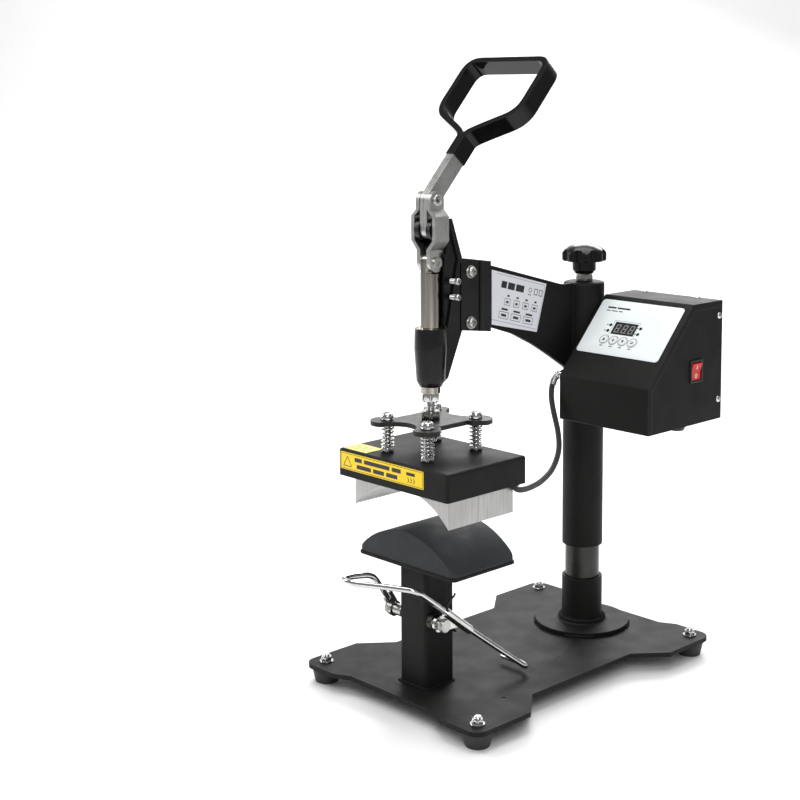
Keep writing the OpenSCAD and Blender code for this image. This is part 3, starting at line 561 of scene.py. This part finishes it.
def flow(route, reach, steps):
    """The route with every corner rounded into a curve that starts up to reach before it."""
    points = [Vector(p) for p in route]
    line = [points[0]]
    for before, corner, after in zip(points, points[1:], points[2:]):
        u, v = before - corner, after - corner
        start = corner + u.normalized() * min(reach, u.length * 0.48)
        end = corner + v.normalized() * min(reach, v.length * 0.48)
        for j in range(steps + 1):
            t = j / steps
            line.append(start * (1 - t) ** 2 + corner * 2 * t * (1 - t) + end * t * t)
    return line + [points[-1]]


def bead(points, radius, pitch=1.7):
    """A weld bead: a bar with the ripple that the torch leaves."""
    points = [Vector(p) for p in points]
    line, sizes, run = [], [], 0.0
    for a, b in zip(points, points[1:]):
        count = max(1, round((b - a).length / (pitch / 4)))
        for k in range(count):
            line.append(a.lerp(b, k / count))
            run += (b - a).length / count
            sizes.append(radius * (0.86 + 0.14 * math.cos(2 * math.pi * run / pitch)
                                   + 0.05 * math.sin(run * 0.9)))
    return line, sizes


class Print:
    """Flat printed marks on one face: origin in millimetres, right and up along the face."""

    def __init__(self, origin, right, up, lift=0.05):
        self.right, self.up = Vector(right).normalized(), Vector(up).normalized()
        self.out = self.right.cross(self.up)
        self.origin = Vector(origin) + self.out * lift
        self.bm = bmesh.new()

    def shape(self, points):
        place = [at(*(self.origin + self.right * x + self.up * y)) for x, y in points]
        self.bm.faces.new([self.bm.verts.new(p) for p in place])
        return self

    def bar(self, x, y, w, h):
        return self.shape([(x, y), (x + w, y), (x + w, y + h), (x, y + h)])

    def text(self, x, y, w, h, words):
        """A line of plain strokes standing for words, each word its share of the width."""
        total = sum(words) + 0.6 * (len(words) - 1)
        unit = w / total
        for word in words:
            self.bar(x, y, word * unit, h)
            x += (word + 0.6) * unit
        return self

    def line(self, a, b, width):
        a, b = Vector(a), Vector(b)
        side = (b - a).normalized().orthogonal() * width / 2
        return self.shape([a - side, b - side, b + side, a + side])

    def frame(self, x, y, w, h, t):
        self.bar(x, y, w, t).bar(x, y + h - t, w, t)
        return self.bar(x, y + t, t, h - 2 * t).bar(x + w - t, y + t, t, h - 2 * t)

    def ring(self, x, y, outer, inner, sides=36):
        wide, tight = circle(x, y, outer, sides), circle(x, y, inner, sides)
        for k in range(sides):
            m = (k + 1) % sides
            self.shape([wide[k], wide[m], tight[m], tight[k]])
        return self

    def disc(self, x, y, r, sides=24):
        return self.shape(circle(x, y, r, sides))

    def finish(self, name, material, body, slot):
        bmesh.ops.remove_doubles(self.bm, verts=self.bm.verts, dist=0.000002)
        mesh = bpy.data.meshes.new(name)
        self.bm.to_mesh(mesh)
        self.bm.free()
        return piece(name, mesh, material, body)


def round_rect(x, y, w, h, r, steps=6):
    """A rectangle with its lower left corner at x, y and every corner rounded to r."""
    left, right, low, high = x + r, x + w - r, y + r, y + h - r
    points = []
    for cx, cy, start in ((right, low, -90), (right, high, 0), (left, high, 90), (left, low, 180)):
        for k in range(steps + 1):
            a = math.radians(start + 90 * k / steps)
            points.append((cx + r * math.cos(a), cy + r * math.sin(a)))
    return points


def plate(name, outlines, origin, right, up, thick, edge=0.1):
    """A flat plate with rounded edges. The first outline is its edge, the others are holes."""
    data = bpy.data.curves.new(name, "CURVE")
    data.dimensions, data.fill_mode = "2D", "BOTH"
    data.extrude, data.bevel_depth = (thick / 2 - edge) * MM, edge * MM
    data.offset = -edge * MM
    data.bevel_resolution = 2
    for outline in outlines:
        spline = data.splines.new("POLY")
        spline.points.add(len(outline) - 1)
        for point, (x, y) in zip(spline.points, outline):
            point.co = (x * MM, y * MM, 0, 1)
        spline.use_cyclic_u = True
    mesh = baked(placed(name, data))
    right, up = Vector(right).normalized(), Vector(up).normalized()
    out = right.cross(up)
    basis = Matrix((right, up, out)).transposed().to_4x4()
    mesh.transform(Matrix.Translation(at(*(Vector(origin) + out * (thick / 2)))) @ basis)
    build = bmesh.new()
    build.from_mesh(mesh)
    bmesh.ops.remove_doubles(build, verts=build.verts, dist=0.000005)
    build.to_mesh(mesh)
    build.free()
    return smooth(mesh, 30)


def shift(p, axis, h):
    return Vector(p) + Vector(axis).normalized() * h


def nut(build, place, axis, flats, height, hole=0.0):
    """A hexagon nut or head with chamfered corners."""
    c, half = 0.08 * flats, flats / 2
    profile = [(half * 0.98, 0), (half, c * 0.5, 6), (half, height - c, 6), (half * 0.96, height)]
    if hole:
        profile.append((hole, height))
    build.turned(place, axis, profile)


def socket_head(build, place, axis, diameter, height, key, deep):
    """A button head with a hexagon socket."""
    r = diameter / 2
    build.turned(place, axis, [
        (r, 0), (r, height * 0.3), (r * 0.95, height * 0.6), (r * 0.8, height * 0.85),
        (r * 0.6, height), (key / 2 * 1.18, height), (key / 2, height - 0.4, 6),
        (key / 2, height - deep, 6), (0.1, height - deep - 0.5),
    ])


# ---------------------------------------------------------------- rounded CAD pieces
SOFTEN = {
    "base_plate": (0.9, 3), "post_flange": (0.7, 3), "pedestal": (0.7, 3), "pad_plate": (0.9, 3),
    "rubber_feet": (1.2, 3), "swing_tube": (0.6, 3), "arm_plate": (0.7, 3),
    "press_casting": (1.2, 3), "spider_plate": (0.7, 3), "heater_block": (0.5, 2), "star_knob": (0.7, 3),
    "lever_strap": (0.7, 3), "link_plates": (0.6, 3), "handle_grip": (2.2, 4), "box_shell": (1.4, 3),
    "box_back": (0.5, 2), "rocker_bezel": (0.5, 3), "rocker": (0.5, 3), "mains_gland": (0.7, 3),
    "bail_tabs": (0.4, 2), "plunger": (0.4, 2), "head_tray": (0.3, 2), "box_bracket": (0.6, 2),
    "key_menu": (0.35, 3), "key_down": (0.35, 3), "key_up": (0.35, 3), "key_set": (0.35, 3),
}
for node, (width, segments) in SOFTEN.items():
    soften(node, width, segments)


# ---------------------------------------------------------------- pad
def add_pad():
    """Foam rubber pad: arched top, rounded corners in plan, soft edges and a slight unevenness."""
    half_x, half_y, corner, top, radius, low = 69.0, 44.5, 7.0, 184.0, 92.5, 150.55
    mid_y, edge = -114.0, 1.3
    outline = []
    for cx, cy, start in (
        (half_x - corner, half_y - corner, 0), (-half_x + corner, half_y - corner, 90),
        (-half_x + corner, -half_y + corner, 180), (half_x - corner, -half_y + corner, 270),
    ):
        for k in range(9):
            a = math.radians(start + 90 * k / 8)
            outline.append((cx + corner * math.cos(a), cy + corner * math.sin(a)))
    line = []
    for a, b in zip(outline, outline[1:] + outline[:1]):
        a, b = Vector(a), Vector(b)
        count = max(1, round((b - a).length / 3))
        line += [a.lerp(b, k / count) for k in range(count)]

    def crown(x, y):
        wear = 0.12 * math.sin(x * 0.11 + 1.3) * math.sin(y * 0.13 + 0.4)
        return top - radius + math.sqrt(max(1.0, radius ** 2 - x * x)) + wear - 0.15

    rings = []
    for scale, drop in ((0.985, 0), (1.0, 0.25)):
        rings.append([(p.x * scale, mid_y + p.y * scale, low + drop) for p in line])
    for k in range(6):
        a = math.pi / 2 * k / 5
        inset, fall = edge * (1 - math.cos(a)), edge * (1 - math.sin(a))
        ring = []
        for p in line:
            q = Vector((p.x * (1 - inset / half_x), p.y * (1 - inset / half_y)))
            ring.append((q.x, mid_y + q.y, max(low + 0.3, crown(q.x, q.y) - fall)))
        rings.append(ring)
    for k in range(1, 12):
        t = (1 - k / 12) * (1 - edge / half_x)
        rings.append([(p.x * t, mid_y + p.y * t, crown(p.x * t, p.y * t)) for p in line])
    pad = Build().loft(rings).finish("foam_pad", "pad_foam", "base", "pad_foam", ("heat_pad",), 60)


add_pad()


# ---------------------------------------------------------------- springs
def coil(r, low, high, turns, per=28, dead=0.75, wire=1.0):
    """Points of a compression spring with its two end coils closed."""
    points, total = [], turns * per
    for i in range(total + 1):
        t = i / per
        rise = min(1, max(0, (t - dead) / (turns - 2 * dead)))
        flat = wire * 1.05
        h = low + flat * min(t, dead) / dead * 0.9 + (high - low - 1.8 * flat) * rise
        h += flat * max(0, t - (turns - dead)) / dead * 0.9
        a = 2 * math.pi * t
        points.append(Vector((r * math.cos(a), r * math.sin(a), h)))
    return points


def add_head_springs():
    build = Build()
    for x, y in HEAD_BOLTS:
        path = [p + Vector((x, y, 0)) for p in coil(6.0, 266.0, 287.3, 6, wire=1.8)]
        build.tube(path, 0.9, 10)
    springs = build.finish("spring_coils", "chrome", "head", "chrome", ("head_springs",), 60)
    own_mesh(springs)


def add_spring_bolts():
    """Dome head bolts with their washers and threads, and the seat nuts on the cover."""
    build = Build()
    for x, y in HEAD_BOLTS:
        build.turned((x, y, SPIDER_Z + SPIDER_T + 0.3), Z, [
            (4.2, 0), (6.8, 0), (7.0, 0.3), (7.0, 0.9), (6.8, 1.1), (4.2, 1.1)])
        socket_head(build, (x, y, SPIDER_Z + SPIDER_T + 1.4), Z, 13, 5.8, 5, 3.2)
        build.thread((x, y, 236), Z, 7.9, 1.25, 57.5, 18, 4)
        nut(build, (x, y, COVER_TOP), Z, 13, 5.4)
    build.finish("spring_bolts", "chrome", "head", "chrome", ("spring_screws",))


def add_bail_spring():
    """Torsion spring on the bail bolt: one leg in the pedestal, one against the bail wire."""
    turns = 2.775
    wind = []
    for i in range(91):
        a = math.radians(50.7 + 360 * turns * i / 90)
        wind.append((21.5 + 5.4 * i / 90, 7.5 * math.cos(a), 7.5 * math.sin(a)))
    route = [(14, 36, -20), (19.5, 36, -20), (21.5, 34, -18.4), (21.5, 20, -6.6), *wind,
             (26.9, 12, 6), (27.5, 19.5, 18.8), (31, 22.5, 24), (33.5, 20.5, 27)]
    path = flow([(x, BAIL_Y + y, BAIL_Z + z) for x, y, z in route], 3, 3)
    mesh = Build().tube(path, 1.0, 12).mesh("bail_torsion_spring", 60)
    spring = placed("bail_torsion_spring", mesh)
    dress(spring, "black_oxide")
    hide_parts("bail_spring")
    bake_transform(spring)


def add_bail():
    path = flow(BAIL_ROUTE, 9, 10)
    sizes = [3.0] * len(path)
    first, last = path[0], path[-1]
    path[0:1] = [first, first.lerp(path[1], 0.15)]
    path[-1:] = [path[-2].lerp(last, 0.92), last]
    sizes = [2.2, 3.0] + [3.0] * (len(path) - 4) + [3.0, 2.2]
    build = Build().tube(path, sizes, 20)
    build.finish("bail_rod", "chrome", "bail", "chrome", ("bail_wire",), 45)
    build = Build()
    build.turned((-37, BAIL_Y, BAIL_Z), X, [(3.9, 0), (3.9, 73.5)], 32)
    nut(build, (36.2, BAIL_Y, BAIL_Z), X, 13, 5.3)
    nut(build, (-36, BAIL_Y, BAIL_Z), -X, 13, 6.5, 4.2)
    build.thread((-42, BAIL_Y, BAIL_Z), -X, 7.9, 1.25, 2.4)
    build.turned((-31, BAIL_Y, BAIL_Z), X, [(5.6, 0), (6, 0.4), (6, 10.6), (5.6, 11)])
    build.finish("bail_pivot_bolt", "zinc", "base", "zinc", ("bail_bolt",))


add_head_springs()
add_spring_bolts()
add_bail_spring()
add_bail()


# ---------------------------------------------------------------- bolts, nuts and pins
def add_base_bolts():
    build = Build()
    for x, y in FEET:
        build.turned((x, y, 21), Z, [(7.2, 0), (7.4, 0.2), (7.4, 1.1), (7.2, 1.3)])
        nut(build, (x, y, 22.3), Z, 10.5, 4.6, 4.0)
        build.thread((x, y, 6), Z, 7.8, 1.25, 23.2)
        nut(build, (x, y, 1.5), Z, 12, 5.3)
    for turn in range(4):
        a = math.radians(45 + 90 * turn)
        place = (42 * math.cos(a), COLUMN_Y + 42 * math.sin(a), 16)
        nut(build, place, -Z, 13, 4.9)
        build.turned((place[0], place[1], 15.5), Z, [(3.95, 0), (3.95, 8)], 24)
    build.turned((0, -128, 150.5), Z, [(8.3, 0), (8.5, 0.4), (8.5, 3.2), (7.6, 4)])
    build.thread((0, -128, 130), Z, 9.9, 1.5, 21)
    nut(build, (0, -128, 142), -Z, 16, 8.2, 4.8)
    build.finish("base_hardware", "chrome", "base", "chrome", ("base_bolts",))


def add_casting_bolts():
    build = Build()
    y = -77.4
    for z in (388, 440):
        build.turned((14, y, z), X, [(4.2, 0), (6.4, 0), (6.6, 0.2), (6.6, 0.8), (6.4, 1), (4.2, 1)])
        socket_head(build, (15, y, z), X, 11, 4.0, 6.2, 3.2)
        build.turned((-15.9, y, z), X, [(3.95, 0), (3.95, 31)], 24)
        build.turned((-14, y, z), -X, [
            (4.2, 0), (8.2, 0), (8.5, 0.3), (8.5, 1.2), (8.2, 1.5), (4.2, 1.5),
        ])
        nut(build, (-15.5, y, z), -X, 13, 5, 4.2)
        build.thread((-18.5, y, z), -X, 7.8, 1.25, 3)
    build.finish("clamp_hardware", "zinc", "arm", "chrome", ("clamp_bolts",))
    build = Build()
    for z in (417, 433):
        build.thread((6, -104, z), X, 5.9, 1.0, 14.6)
        socket_head(build, (20.4, -104, z), X, 7.4, 3.8, 3.2, 2.2)
    build.finish("gib_screws", "zinc", "arm", "zinc", ("set_screws",))
    build = Build()
    build.turned((-11.2, ROD_Y, PIVOT_Z), X, [(3.93, 0), (3.93, 22.4)])
    for side in (1, -1):
        build.turned((11.2 * side, ROD_Y, PIVOT_Z), X * side, [
            (4, 0), (5.8, 0), (6, 0.2), (6, 0.8), (5.7, 1.1), (0.1, 1.1),
        ])
    build.finish("lever_axle", "zinc", "arm", "zinc", ("lever_pin",))


def add_toggle_pins():
    build = Build()
    build.turned((-10.6, ROD_Y, PIN_A), X, [(3.96, 0), (3.96, 21.2)])
    for side in (1, -1):
        socket_head(build, (10.6 * side, ROD_Y, PIN_A), X * side, 12, 2.3, 5.6, 2.1)
    build.finish("crank_axle", "zinc", "handle", "black_oxide", ("crank_pin",))
    build = Build()
    for side in (1, -1):
        build.turned((9.3 * side, ROD_Y, PIN_B), X * side, [(5.6, 0), (5.6, 0.05)])
        socket_head(build, (9.35 * side, ROD_Y, PIN_B), X * side, 11, 2.3, 5.6, 2.1)
    build.finish("link_pins", "zinc", "link", "black_oxide")


def add_rod_end():
    build = Build()
    build.thread((0, ROD_Y, 277), Z, 9.9, 1.5, 44)
    nut(build, (0, ROD_Y, 311.5), Z, 17, 8.9, 4.9)
    build.finish("rod_end_thread", "chrome", "plunger", "chrome", ("rod_stud",))
    build = Build()
    nut(build, (0, ROD_Y, SPIDER_Z + SPIDER_T), Z, 18.2, 8.9, 5.0)
    nut(build, (0, ROD_Y, SPIDER_Z), -Z, 17, 7.7, 5.0)
    build.finish("spider_lock_nuts", "dark_nickel", "plunger", "black_oxide", ("spider_nuts",))
    build = Build()
    build.turned((0, ROD_Y, 327), -Z, [(10.6, 0), (11.4, 0), (11.4, 0.1), (11.0, 0.3), (10.6, 0.3)], 64)
    build.finish("barrel_lip", "bronze", "arm", "bronze")
    build = Build()
    build.turned((0, COLUMN_Y, 396), Z, [
        (20.4, 0), (20.4, 7), (22.5, 7), (22.5, 12.6), (22.2, 13.8), (21.3, 14.8), (20.0, 15.3),
        (6.2, 15.4),
    ], 72)
    build.finish("tube_cap", "black_powder", "arm", "black_powder", ("tube_end",))
    build = Build()
    nut(build, (0, COLUMN_Y, 411.6), Z, 18, 7.4, 6.2)
    build.finish("column_lock_nut", "zinc", "arm", "chrome")


def add_box_screws():
    build = Build()
    places = [((x, 170, BOX_TOP), Z) for x in (43, 113.5)]
    places += [((BOX_RIGHT, 170, z), X) for z in (291.5, 382)]
    for place, axis in places:
        build.turned(place, axis, [
            (3.3, 0), (3.5, 0.2), (3.4, 0.9), (2.9, 1.5), (2.0, 1.85), (0.1, 1.95),
        ], 32)
    for y in (103, 131):
        for z in (310, 350):
            build.turned((BOX_LEFT - 4, y, z), X, [(2.4, 0), (2.4, 7)], 20)
            build.turned((BOX_LEFT + 1.5, y, z), X, [(4.3, 0), (4.5, 0.3), (4.3, 2), (3, 3), (0.1, 3)], 28)
    build.finish("box_screw_heads", "chrome", "arm", "chrome", ("box_fasteners",))
    for number, (place, axis) in enumerate(places):
        up = Y if axis == Z else Z
        cross = Print(shift(place, axis, 1.93), up.cross(axis), up, 0.04)
        cross.bar(-1.5, -0.28, 3.0, 0.56).bar(-0.28, -1.5, 0.56, 3.0)
        cross.finish("screw_cross_%d" % number, "ink", "arm", "chrome")


add_base_bolts()
add_casting_bolts()
add_toggle_pins()
add_rod_end()
add_box_screws()


# ---------------------------------------------------------------- weld beads
def add_welds():
    build = Build()
    turns = [2 * math.pi * k / 60 for k in range(61)]
    foot = [(24.4 * math.cos(a), COLUMN_Y + 24.4 * math.sin(a), 29.2) for a in turns]
    build.tube(*bead(foot, 2.3), 8)
    for start in (20, 105, 200, 290):
        arc = [math.radians(start + 34 * k / 16) for k in range(17)]
        rim = [(52.4 * math.cos(a), COLUMN_Y + 52.4 * math.sin(a), 22) for a in arc]
        build.tube(*bead(rim, 1.7), 8)
    half = 20.6
    square = [(-half, -128 - half, 21.6), (half, -128 - half, 21.6), (half, -128 + half, 21.6),
              (-half, -128 + half, 21.6), (-half, -128 - half, 21.6)]
    build.tube(*bead(flow(square, 4, 4), 1.2), 8)
    build.finish("base_welds", "black_powder", "base", "black_powder", degrees=60)
    build = Build()
    back = COLUMN_Y - math.sqrt((TUBE_D / 2) ** 2 - 9) - 0.4
    for x in (-3.4, 3.4):
        build.tube(*bead([(x, back, 314), (x, back, 408)], 1.5), 8)
    build.finish("arm_welds", "black_powder", "arm", "black_powder", degrees=60)


add_welds()


# ---------------------------------------------------------------- heater lead
def add_lead():
    """The braided lead with its weave coordinates, and the sprung strain relief at its rear end."""
    sides = 20
    path = flow(LEAD_ROUTE, 30, 8)
    mesh = Build().tube(path, LEAD_R, sides).mesh("heater_lead_sleeve", 60)
    layer = mesh.uv_layers.new(name="UVMap")
    runs = [0.0]
    for a, b in zip(path, path[1:]):
        runs.append(runs[-1] + (b - a).length)
    for face in mesh.polygons:
        rows = [mesh.loops[i].vertex_index for i in face.loop_indices]
        wrap = any(v % sides == sides - 1 for v in rows) and any(v % sides == 0 for v in rows)
        for i in face.loop_indices:
            v = mesh.loops[i].vertex_index
            turn = v % sides
            if wrap and turn == 0:
                turn = sides
            layer.data[i].uv = (turn / sides, runs[v // sides] / (2 * math.pi * LEAD_R))
    lead = placed("heater_lead_sleeve", mesh)
    dress(lead, "braid")
    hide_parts("heater_lead")
    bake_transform(lead)

    tail = [p for p in path if p.z > 305 and p.x < 27]
    tail.reverse()
    fine = [tail[0]]
    for a, b in zip(tail, tail[1:]):
        count = max(1, round((b - a).length / 0.15))
        fine += [a.lerp(b, k / count) for k in range(1, count + 1)]
    normal, spiral, run = None, [], 0.0
    for i, p in enumerate(fine):
        along = (fine[min(i + 6, len(fine) - 1)] - fine[max(i - 6, 0)]).normalized()
        if normal is None:
            normal = along.orthogonal()
        normal = (normal - along * normal.dot(along)).normalized()
        if i:
            run += (p - fine[i - 1]).length
        a = 2 * math.pi * run / 1.75
        spiral.append(p + (LEAD_R + 0.55) * (math.cos(a) * normal + math.sin(a) * along.cross(normal)))
    guard = Build().tube(spiral, 0.6, 7)
    guard.finish("lead_spring_guard", "chrome", "arm", "chrome", degrees=60)


add_lead()


# ---------------------------------------------------------------- labels
def add_head_labels():
    sheet = plate("front_label", [round_rect(0, 0, 122, 18, 1.2)], (-75.5, -176.5, 239), X, Z, 0.3)
    piece("front_label", sheet, "label_yellow", "head", ("head_labels",))
    marks = Print((-75.5, -176.8, 239), X, Z)
    marks.frame(1.0, 0.9, 120, 16.2, 0.5)
    marks.line((5, 4), (17, 4), 0.8).line((5, 4), (11, 14), 0.8).line((17, 4), (11, 14), 0.8)
    marks.text(22, 10.2, 68, 4.2, (2, 7, 2.4)).text(25, 3.4, 60, 4.2, (4, 3, 3))
    for k in range(3):
        x = 100 + 4 * k
        marks.line((x, 3.2), (x + 1.6, 5.8), 0.9).line((x + 1.6, 5.8), (x, 8.4), 0.9)
    marks.bar(98, 10.5, 12, 3.2)
    marks.finish("front_label_print", "ink", "head", "label_yellow")
    sheet = plate("top_label", [round_rect(0, 0, 34, 24, 1)], (-75, -173, COVER_TOP), X, Y, 0.25)
    piece("top_label", sheet, "label_pale", "head")
    marks = Print((-75, -173, COVER_TOP + 0.25), X, Y)
    marks.frame(1, 1, 32, 22, 0.4).text(4, 15, 24, 2.4, (2, 3, 2)).text(4, 10, 20, 2.4, (3, 2))
    marks.text(4, 5, 24, 2.0, (2, 2, 3))
    marks.finish("top_label_print", "ink_grey", "head", "label_yellow")


def add_spec_label():
    right, up = Vector((0, 85.5, -22.8)).normalized(), Vector((0, 22.8, 85.5)).normalized()
    marks = Print((3.3, 50.5, 414.7), right, up)
    marks.text(-70, -15.5, 36, 7.2, (2.6, 3.4, 4))
    marks.ring(-24, -11, 2.6, 1.9).bar(-26.5, -16.4, 5, 0.9).frame(-17.5, -15, 5.5, 6.8, 0.8)
    marks.frame(-9.5, -15, 5.5, 6.8, 0.8)
    for k in range(4):
        x = -61 + 14.6 * k
        marks.frame(x, -32.5, 9.2, 7.2, 0.5).bar(x + 2.6, -30.2, 4, 2.4).bar(x + 3, -23.4, 3.6, 2)
    for x, w in ((-66, 15), (-47, 15.5), (-27, 15.5)):
        marks.frame(x, -47, w, 7.4, 0.5).bar(x + 3.5, -44.6, w - 7, 2.6).bar(x + 2.5, -38, w - 5, 2)
    marks.finish("spec_label_print", "ink", "arm", "label_silver")
    rim = Print((3.3, 50.5, 414.7), right, up, 0.04)
    rim.line((-80, -2.2), (-2.2, -2.2), 0.4).line((-2.2, -2.2), (-2.6, -50.3), 0.4)
    rim.line((-2.6, -50.3), (-76, -50.3), 0.4)
    rim.finish("spec_label_border", "ink_grey", "arm", "label_silver")


# ---------------------------------------------------------------- control panel
def add_panel():
    a = math.radians(SLOPE_DEG)
    up, out = Vector((0, math.cos(a), math.sin(a))), Vector((0, -math.sin(a), math.cos(a)))
    foot = Vector((0, BOX_FRONT, SLOPE_Z))
    leds = [(54, 71), (54, 63.5), (94, 71), (94, 63.5)]
    holes = [round_rect(58.8, 60, 30.4, 16, 0.6)]
    holes += [circle(x, 52, 4.7) for x in KEY_X] + [circle(x, v, 1.6, 16) for x, v in leds]
    outlines = [round_rect(26.6, 33.2, 108.8, 70.2, 4)] + holes
    sheet = plate("panel_film", outlines, foot, X, up, 0.4, 0.08)
    piece("panel_film", sheet, "overlay", "arm", ("panel_overlay",))
    marks = Print(foot + out * 0.4, X, up)
    marks.text(38, 92.2, 30, 2.2, (4, 6)).text(38, 88.6, 22, 1.2, (2, 3, 2))
    for x, v in leds:
        marks.bar(x - 5.4, v - 0.5, 2.6, 1.0)
        marks.ring(x, v, 2.0, 1.6, 20)
    for x in KEY_X:
        marks.ring(x, 52, 5.9, 5.35)
        marks.bar(x - 2, 43.6, 4, 1.1)
    left, right, low, high = 57.2, 90.8, 58.6, 77.6
    marks.line((left, low), (left, high), 0.3).line((right, low), (right, high), 0.3)
    marks.line((left, high), (right, high), 0.3)
    marks.finish("panel_print", "ink", "arm", "overlay")
    icons = {
        "key_menu": [[(-2, -1.6), (2, -1.6), (0, 2.1)]],
        "key_down": [
            [(-0.5, -2), (0.5, -2), (0.5, 2), (-0.5, 2)], [(-2, -0.5), (2, -0.5), (2, 0.5), (-2, 0.5)],
        ],
        "key_up": [[(-2, 1.6), (0, -2.1), (2, 1.6)]],
        "key_set": [
            [(-2, 0.5), (2, 0.5), (2, 1.5), (-2, 1.5)], [(-2, -1.5), (2, -1.5), (2, -0.5), (-2, -0.5)],
        ],
    }
    for x, (body, shapes) in zip(KEY_X, icons.items()):
        mark = Print(foot + X * x + up * 52 + out * 1.1, X, up)
        for shape in shapes:
            mark.shape(shape)
        mark.finish(body + "_mark", "ink", body, "key_white")
    digits = Print(foot + X * 74 + up * 68, X, up, 0.06)
    for centre in (-9.2, 0, 9.2):
        tall, wide, bar = 10.6, 5.4, 1.15

        def slanted(x, y):
            return (centre + x + 0.12 * y, y)

        for y in (-tall / 2, -bar / 2, tall / 2 - bar):
            w = wide / 2 - 0.5
            digits.shape([slanted(-w, y), slanted(w, y), slanted(w, y + bar), slanted(-w, y + bar)])
        for x in (-wide / 2 - 0.2, wide / 2 - bar + 0.2):
            for y in (-tall / 2 + 0.5, 0.4):
                h = tall / 2 - 0.9
                far = x + bar
                digits.shape([slanted(x, y), slanted(far, y), slanted(far, y + h), slanted(x, y + h)])
        digits.disc(centre + 3.5, -tall / 2 + 0.5, 0.6, 12)
    digits.finish("display_digits", "segment_grey", "arm", "display_red")


def add_box_marks():
    """Seams of the folded box and the marks on the rocker."""
    for side, face in ((1, BOX_RIGHT), (-1, BOX_LEFT)):
        seam = Print((face, 0, 0), Y * side, Z, 0.03)
        corners = [(56, 271.5), (56, 315.5), (127.5, 391), (175, 391)]
        for p, q in zip(corners, corners[1:]):
            seam.line((p[0] * side, p[1]), (q[0] * side, q[1]), 0.45)
        seam.finish("box_seam_right" if side > 0 else "box_seam_left", "ink", "arm", "black_powder")
    tilt = math.radians(8)

    def turned_point(x, z):
        across = x * math.cos(tilt) + z * math.sin(tilt)
        rise = z * math.cos(tilt) - x * math.sin(tilt)
        return Vector((140 + across, 130, 327 + rise))

    middle, top, low = turned_point(2.4, 0), turned_point(3.76, 9.2), turned_point(3.7, -9.2)
    face = Print(middle.lerp(top, 0.52), Y, top - middle, 0.06)
    face.bar(-0.5, -2.2, 1.0, 4.4)
    face.finish("rocker_on_mark", "mark_white", "rocker", "rocker_red")
    face = Print(middle.lerp(low, 0.5), Y, middle - low, 0.06)
    face.ring(0, 0, 2.3, 1.5)
    face.finish("rocker_off_mark", "mark_white", "rocker", "rocker_red")


add_head_labels()
add_spec_label()
add_panel()
add_box_marks()


# ---------------------------------------------------------------- studio
def add_studio():
    """A pale floor that curves up into a backdrop behind the machine, and four soft lamps."""
    mesh = bpy.data.meshes.new("floor")
    size, rise, behind, steps = 9.0, 4.5, 1.2, 12
    build = bmesh.new()
    profile = [(-size, 0.0), (behind, 0.0)]
    for k in range(1, steps + 1):
        a = math.pi / 2 * k / steps
        profile.append((behind + math.sin(a), 1.0 - math.cos(a)))
    profile.append((behind + 1.0, rise))
    turn = Matrix.Rotation(VIEW_HEADING, 4, "Z")
    rows = [[build.verts.new(turn @ Vector((x, y, z))) for x in (-size, size)] for y, z in profile]
    for a, b in zip(rows, rows[1:]):
        build.faces.new((a[0], a[1], b[1], b[0]))
    build.to_mesh(mesh)
    build.free()
    for face in mesh.polygons:
        face.use_smooth = True
    floor = placed("floor", mesh)
    s = Shader("studio_floor", (0.93, 0.93, 0.93), 0.6)
    s.tint(s.ramp(s.noise(2, 3), 0.4, 0.7, 0, 0.1), (0.88, 0.88, 0.88))
    s.bump(s.noise(300, 2), 0.02, 0.0002)
    mesh.materials.append(s.material)

    target = Vector((0, 0, 0.3))
    for name, place, size, power in (
        ("key", (1.5, -1.3, 1.7), (0.7, 1.3), 21), ("left", (-1.7, -0.9, 1.2), (0.6, 1.6), 17),
        ("top", (-0.1, 0.2, 2.3), (1.8, 1.8), 42), ("rear", (-0.9, 1.6, 1.5), (1.4, 0.8), 28),
    ):
        data = bpy.data.lights.new(name, "AREA")
        data.shape, data.size, data.size_y = "RECTANGLE", size[0], size[1]
        data.energy = power
        light = placed(name, data)
        light.location = place
        light.rotation_euler = (target - Vector(place)).to_track_quat("-Z", "Y").to_euler()
    world = bpy.data.worlds.new("world")
    world.use_nodes = True
    world.node_tree.nodes["Background"].inputs["Color"].default_value = (0.98, 0.98, 1.0, 1)
    world.node_tree.nodes["Background"].inputs["Strength"].default_value = 0.27
    bpy.context.scene.world = world
    bpy.context.scene.view_settings.view_transform = "Standard"


add_studio()
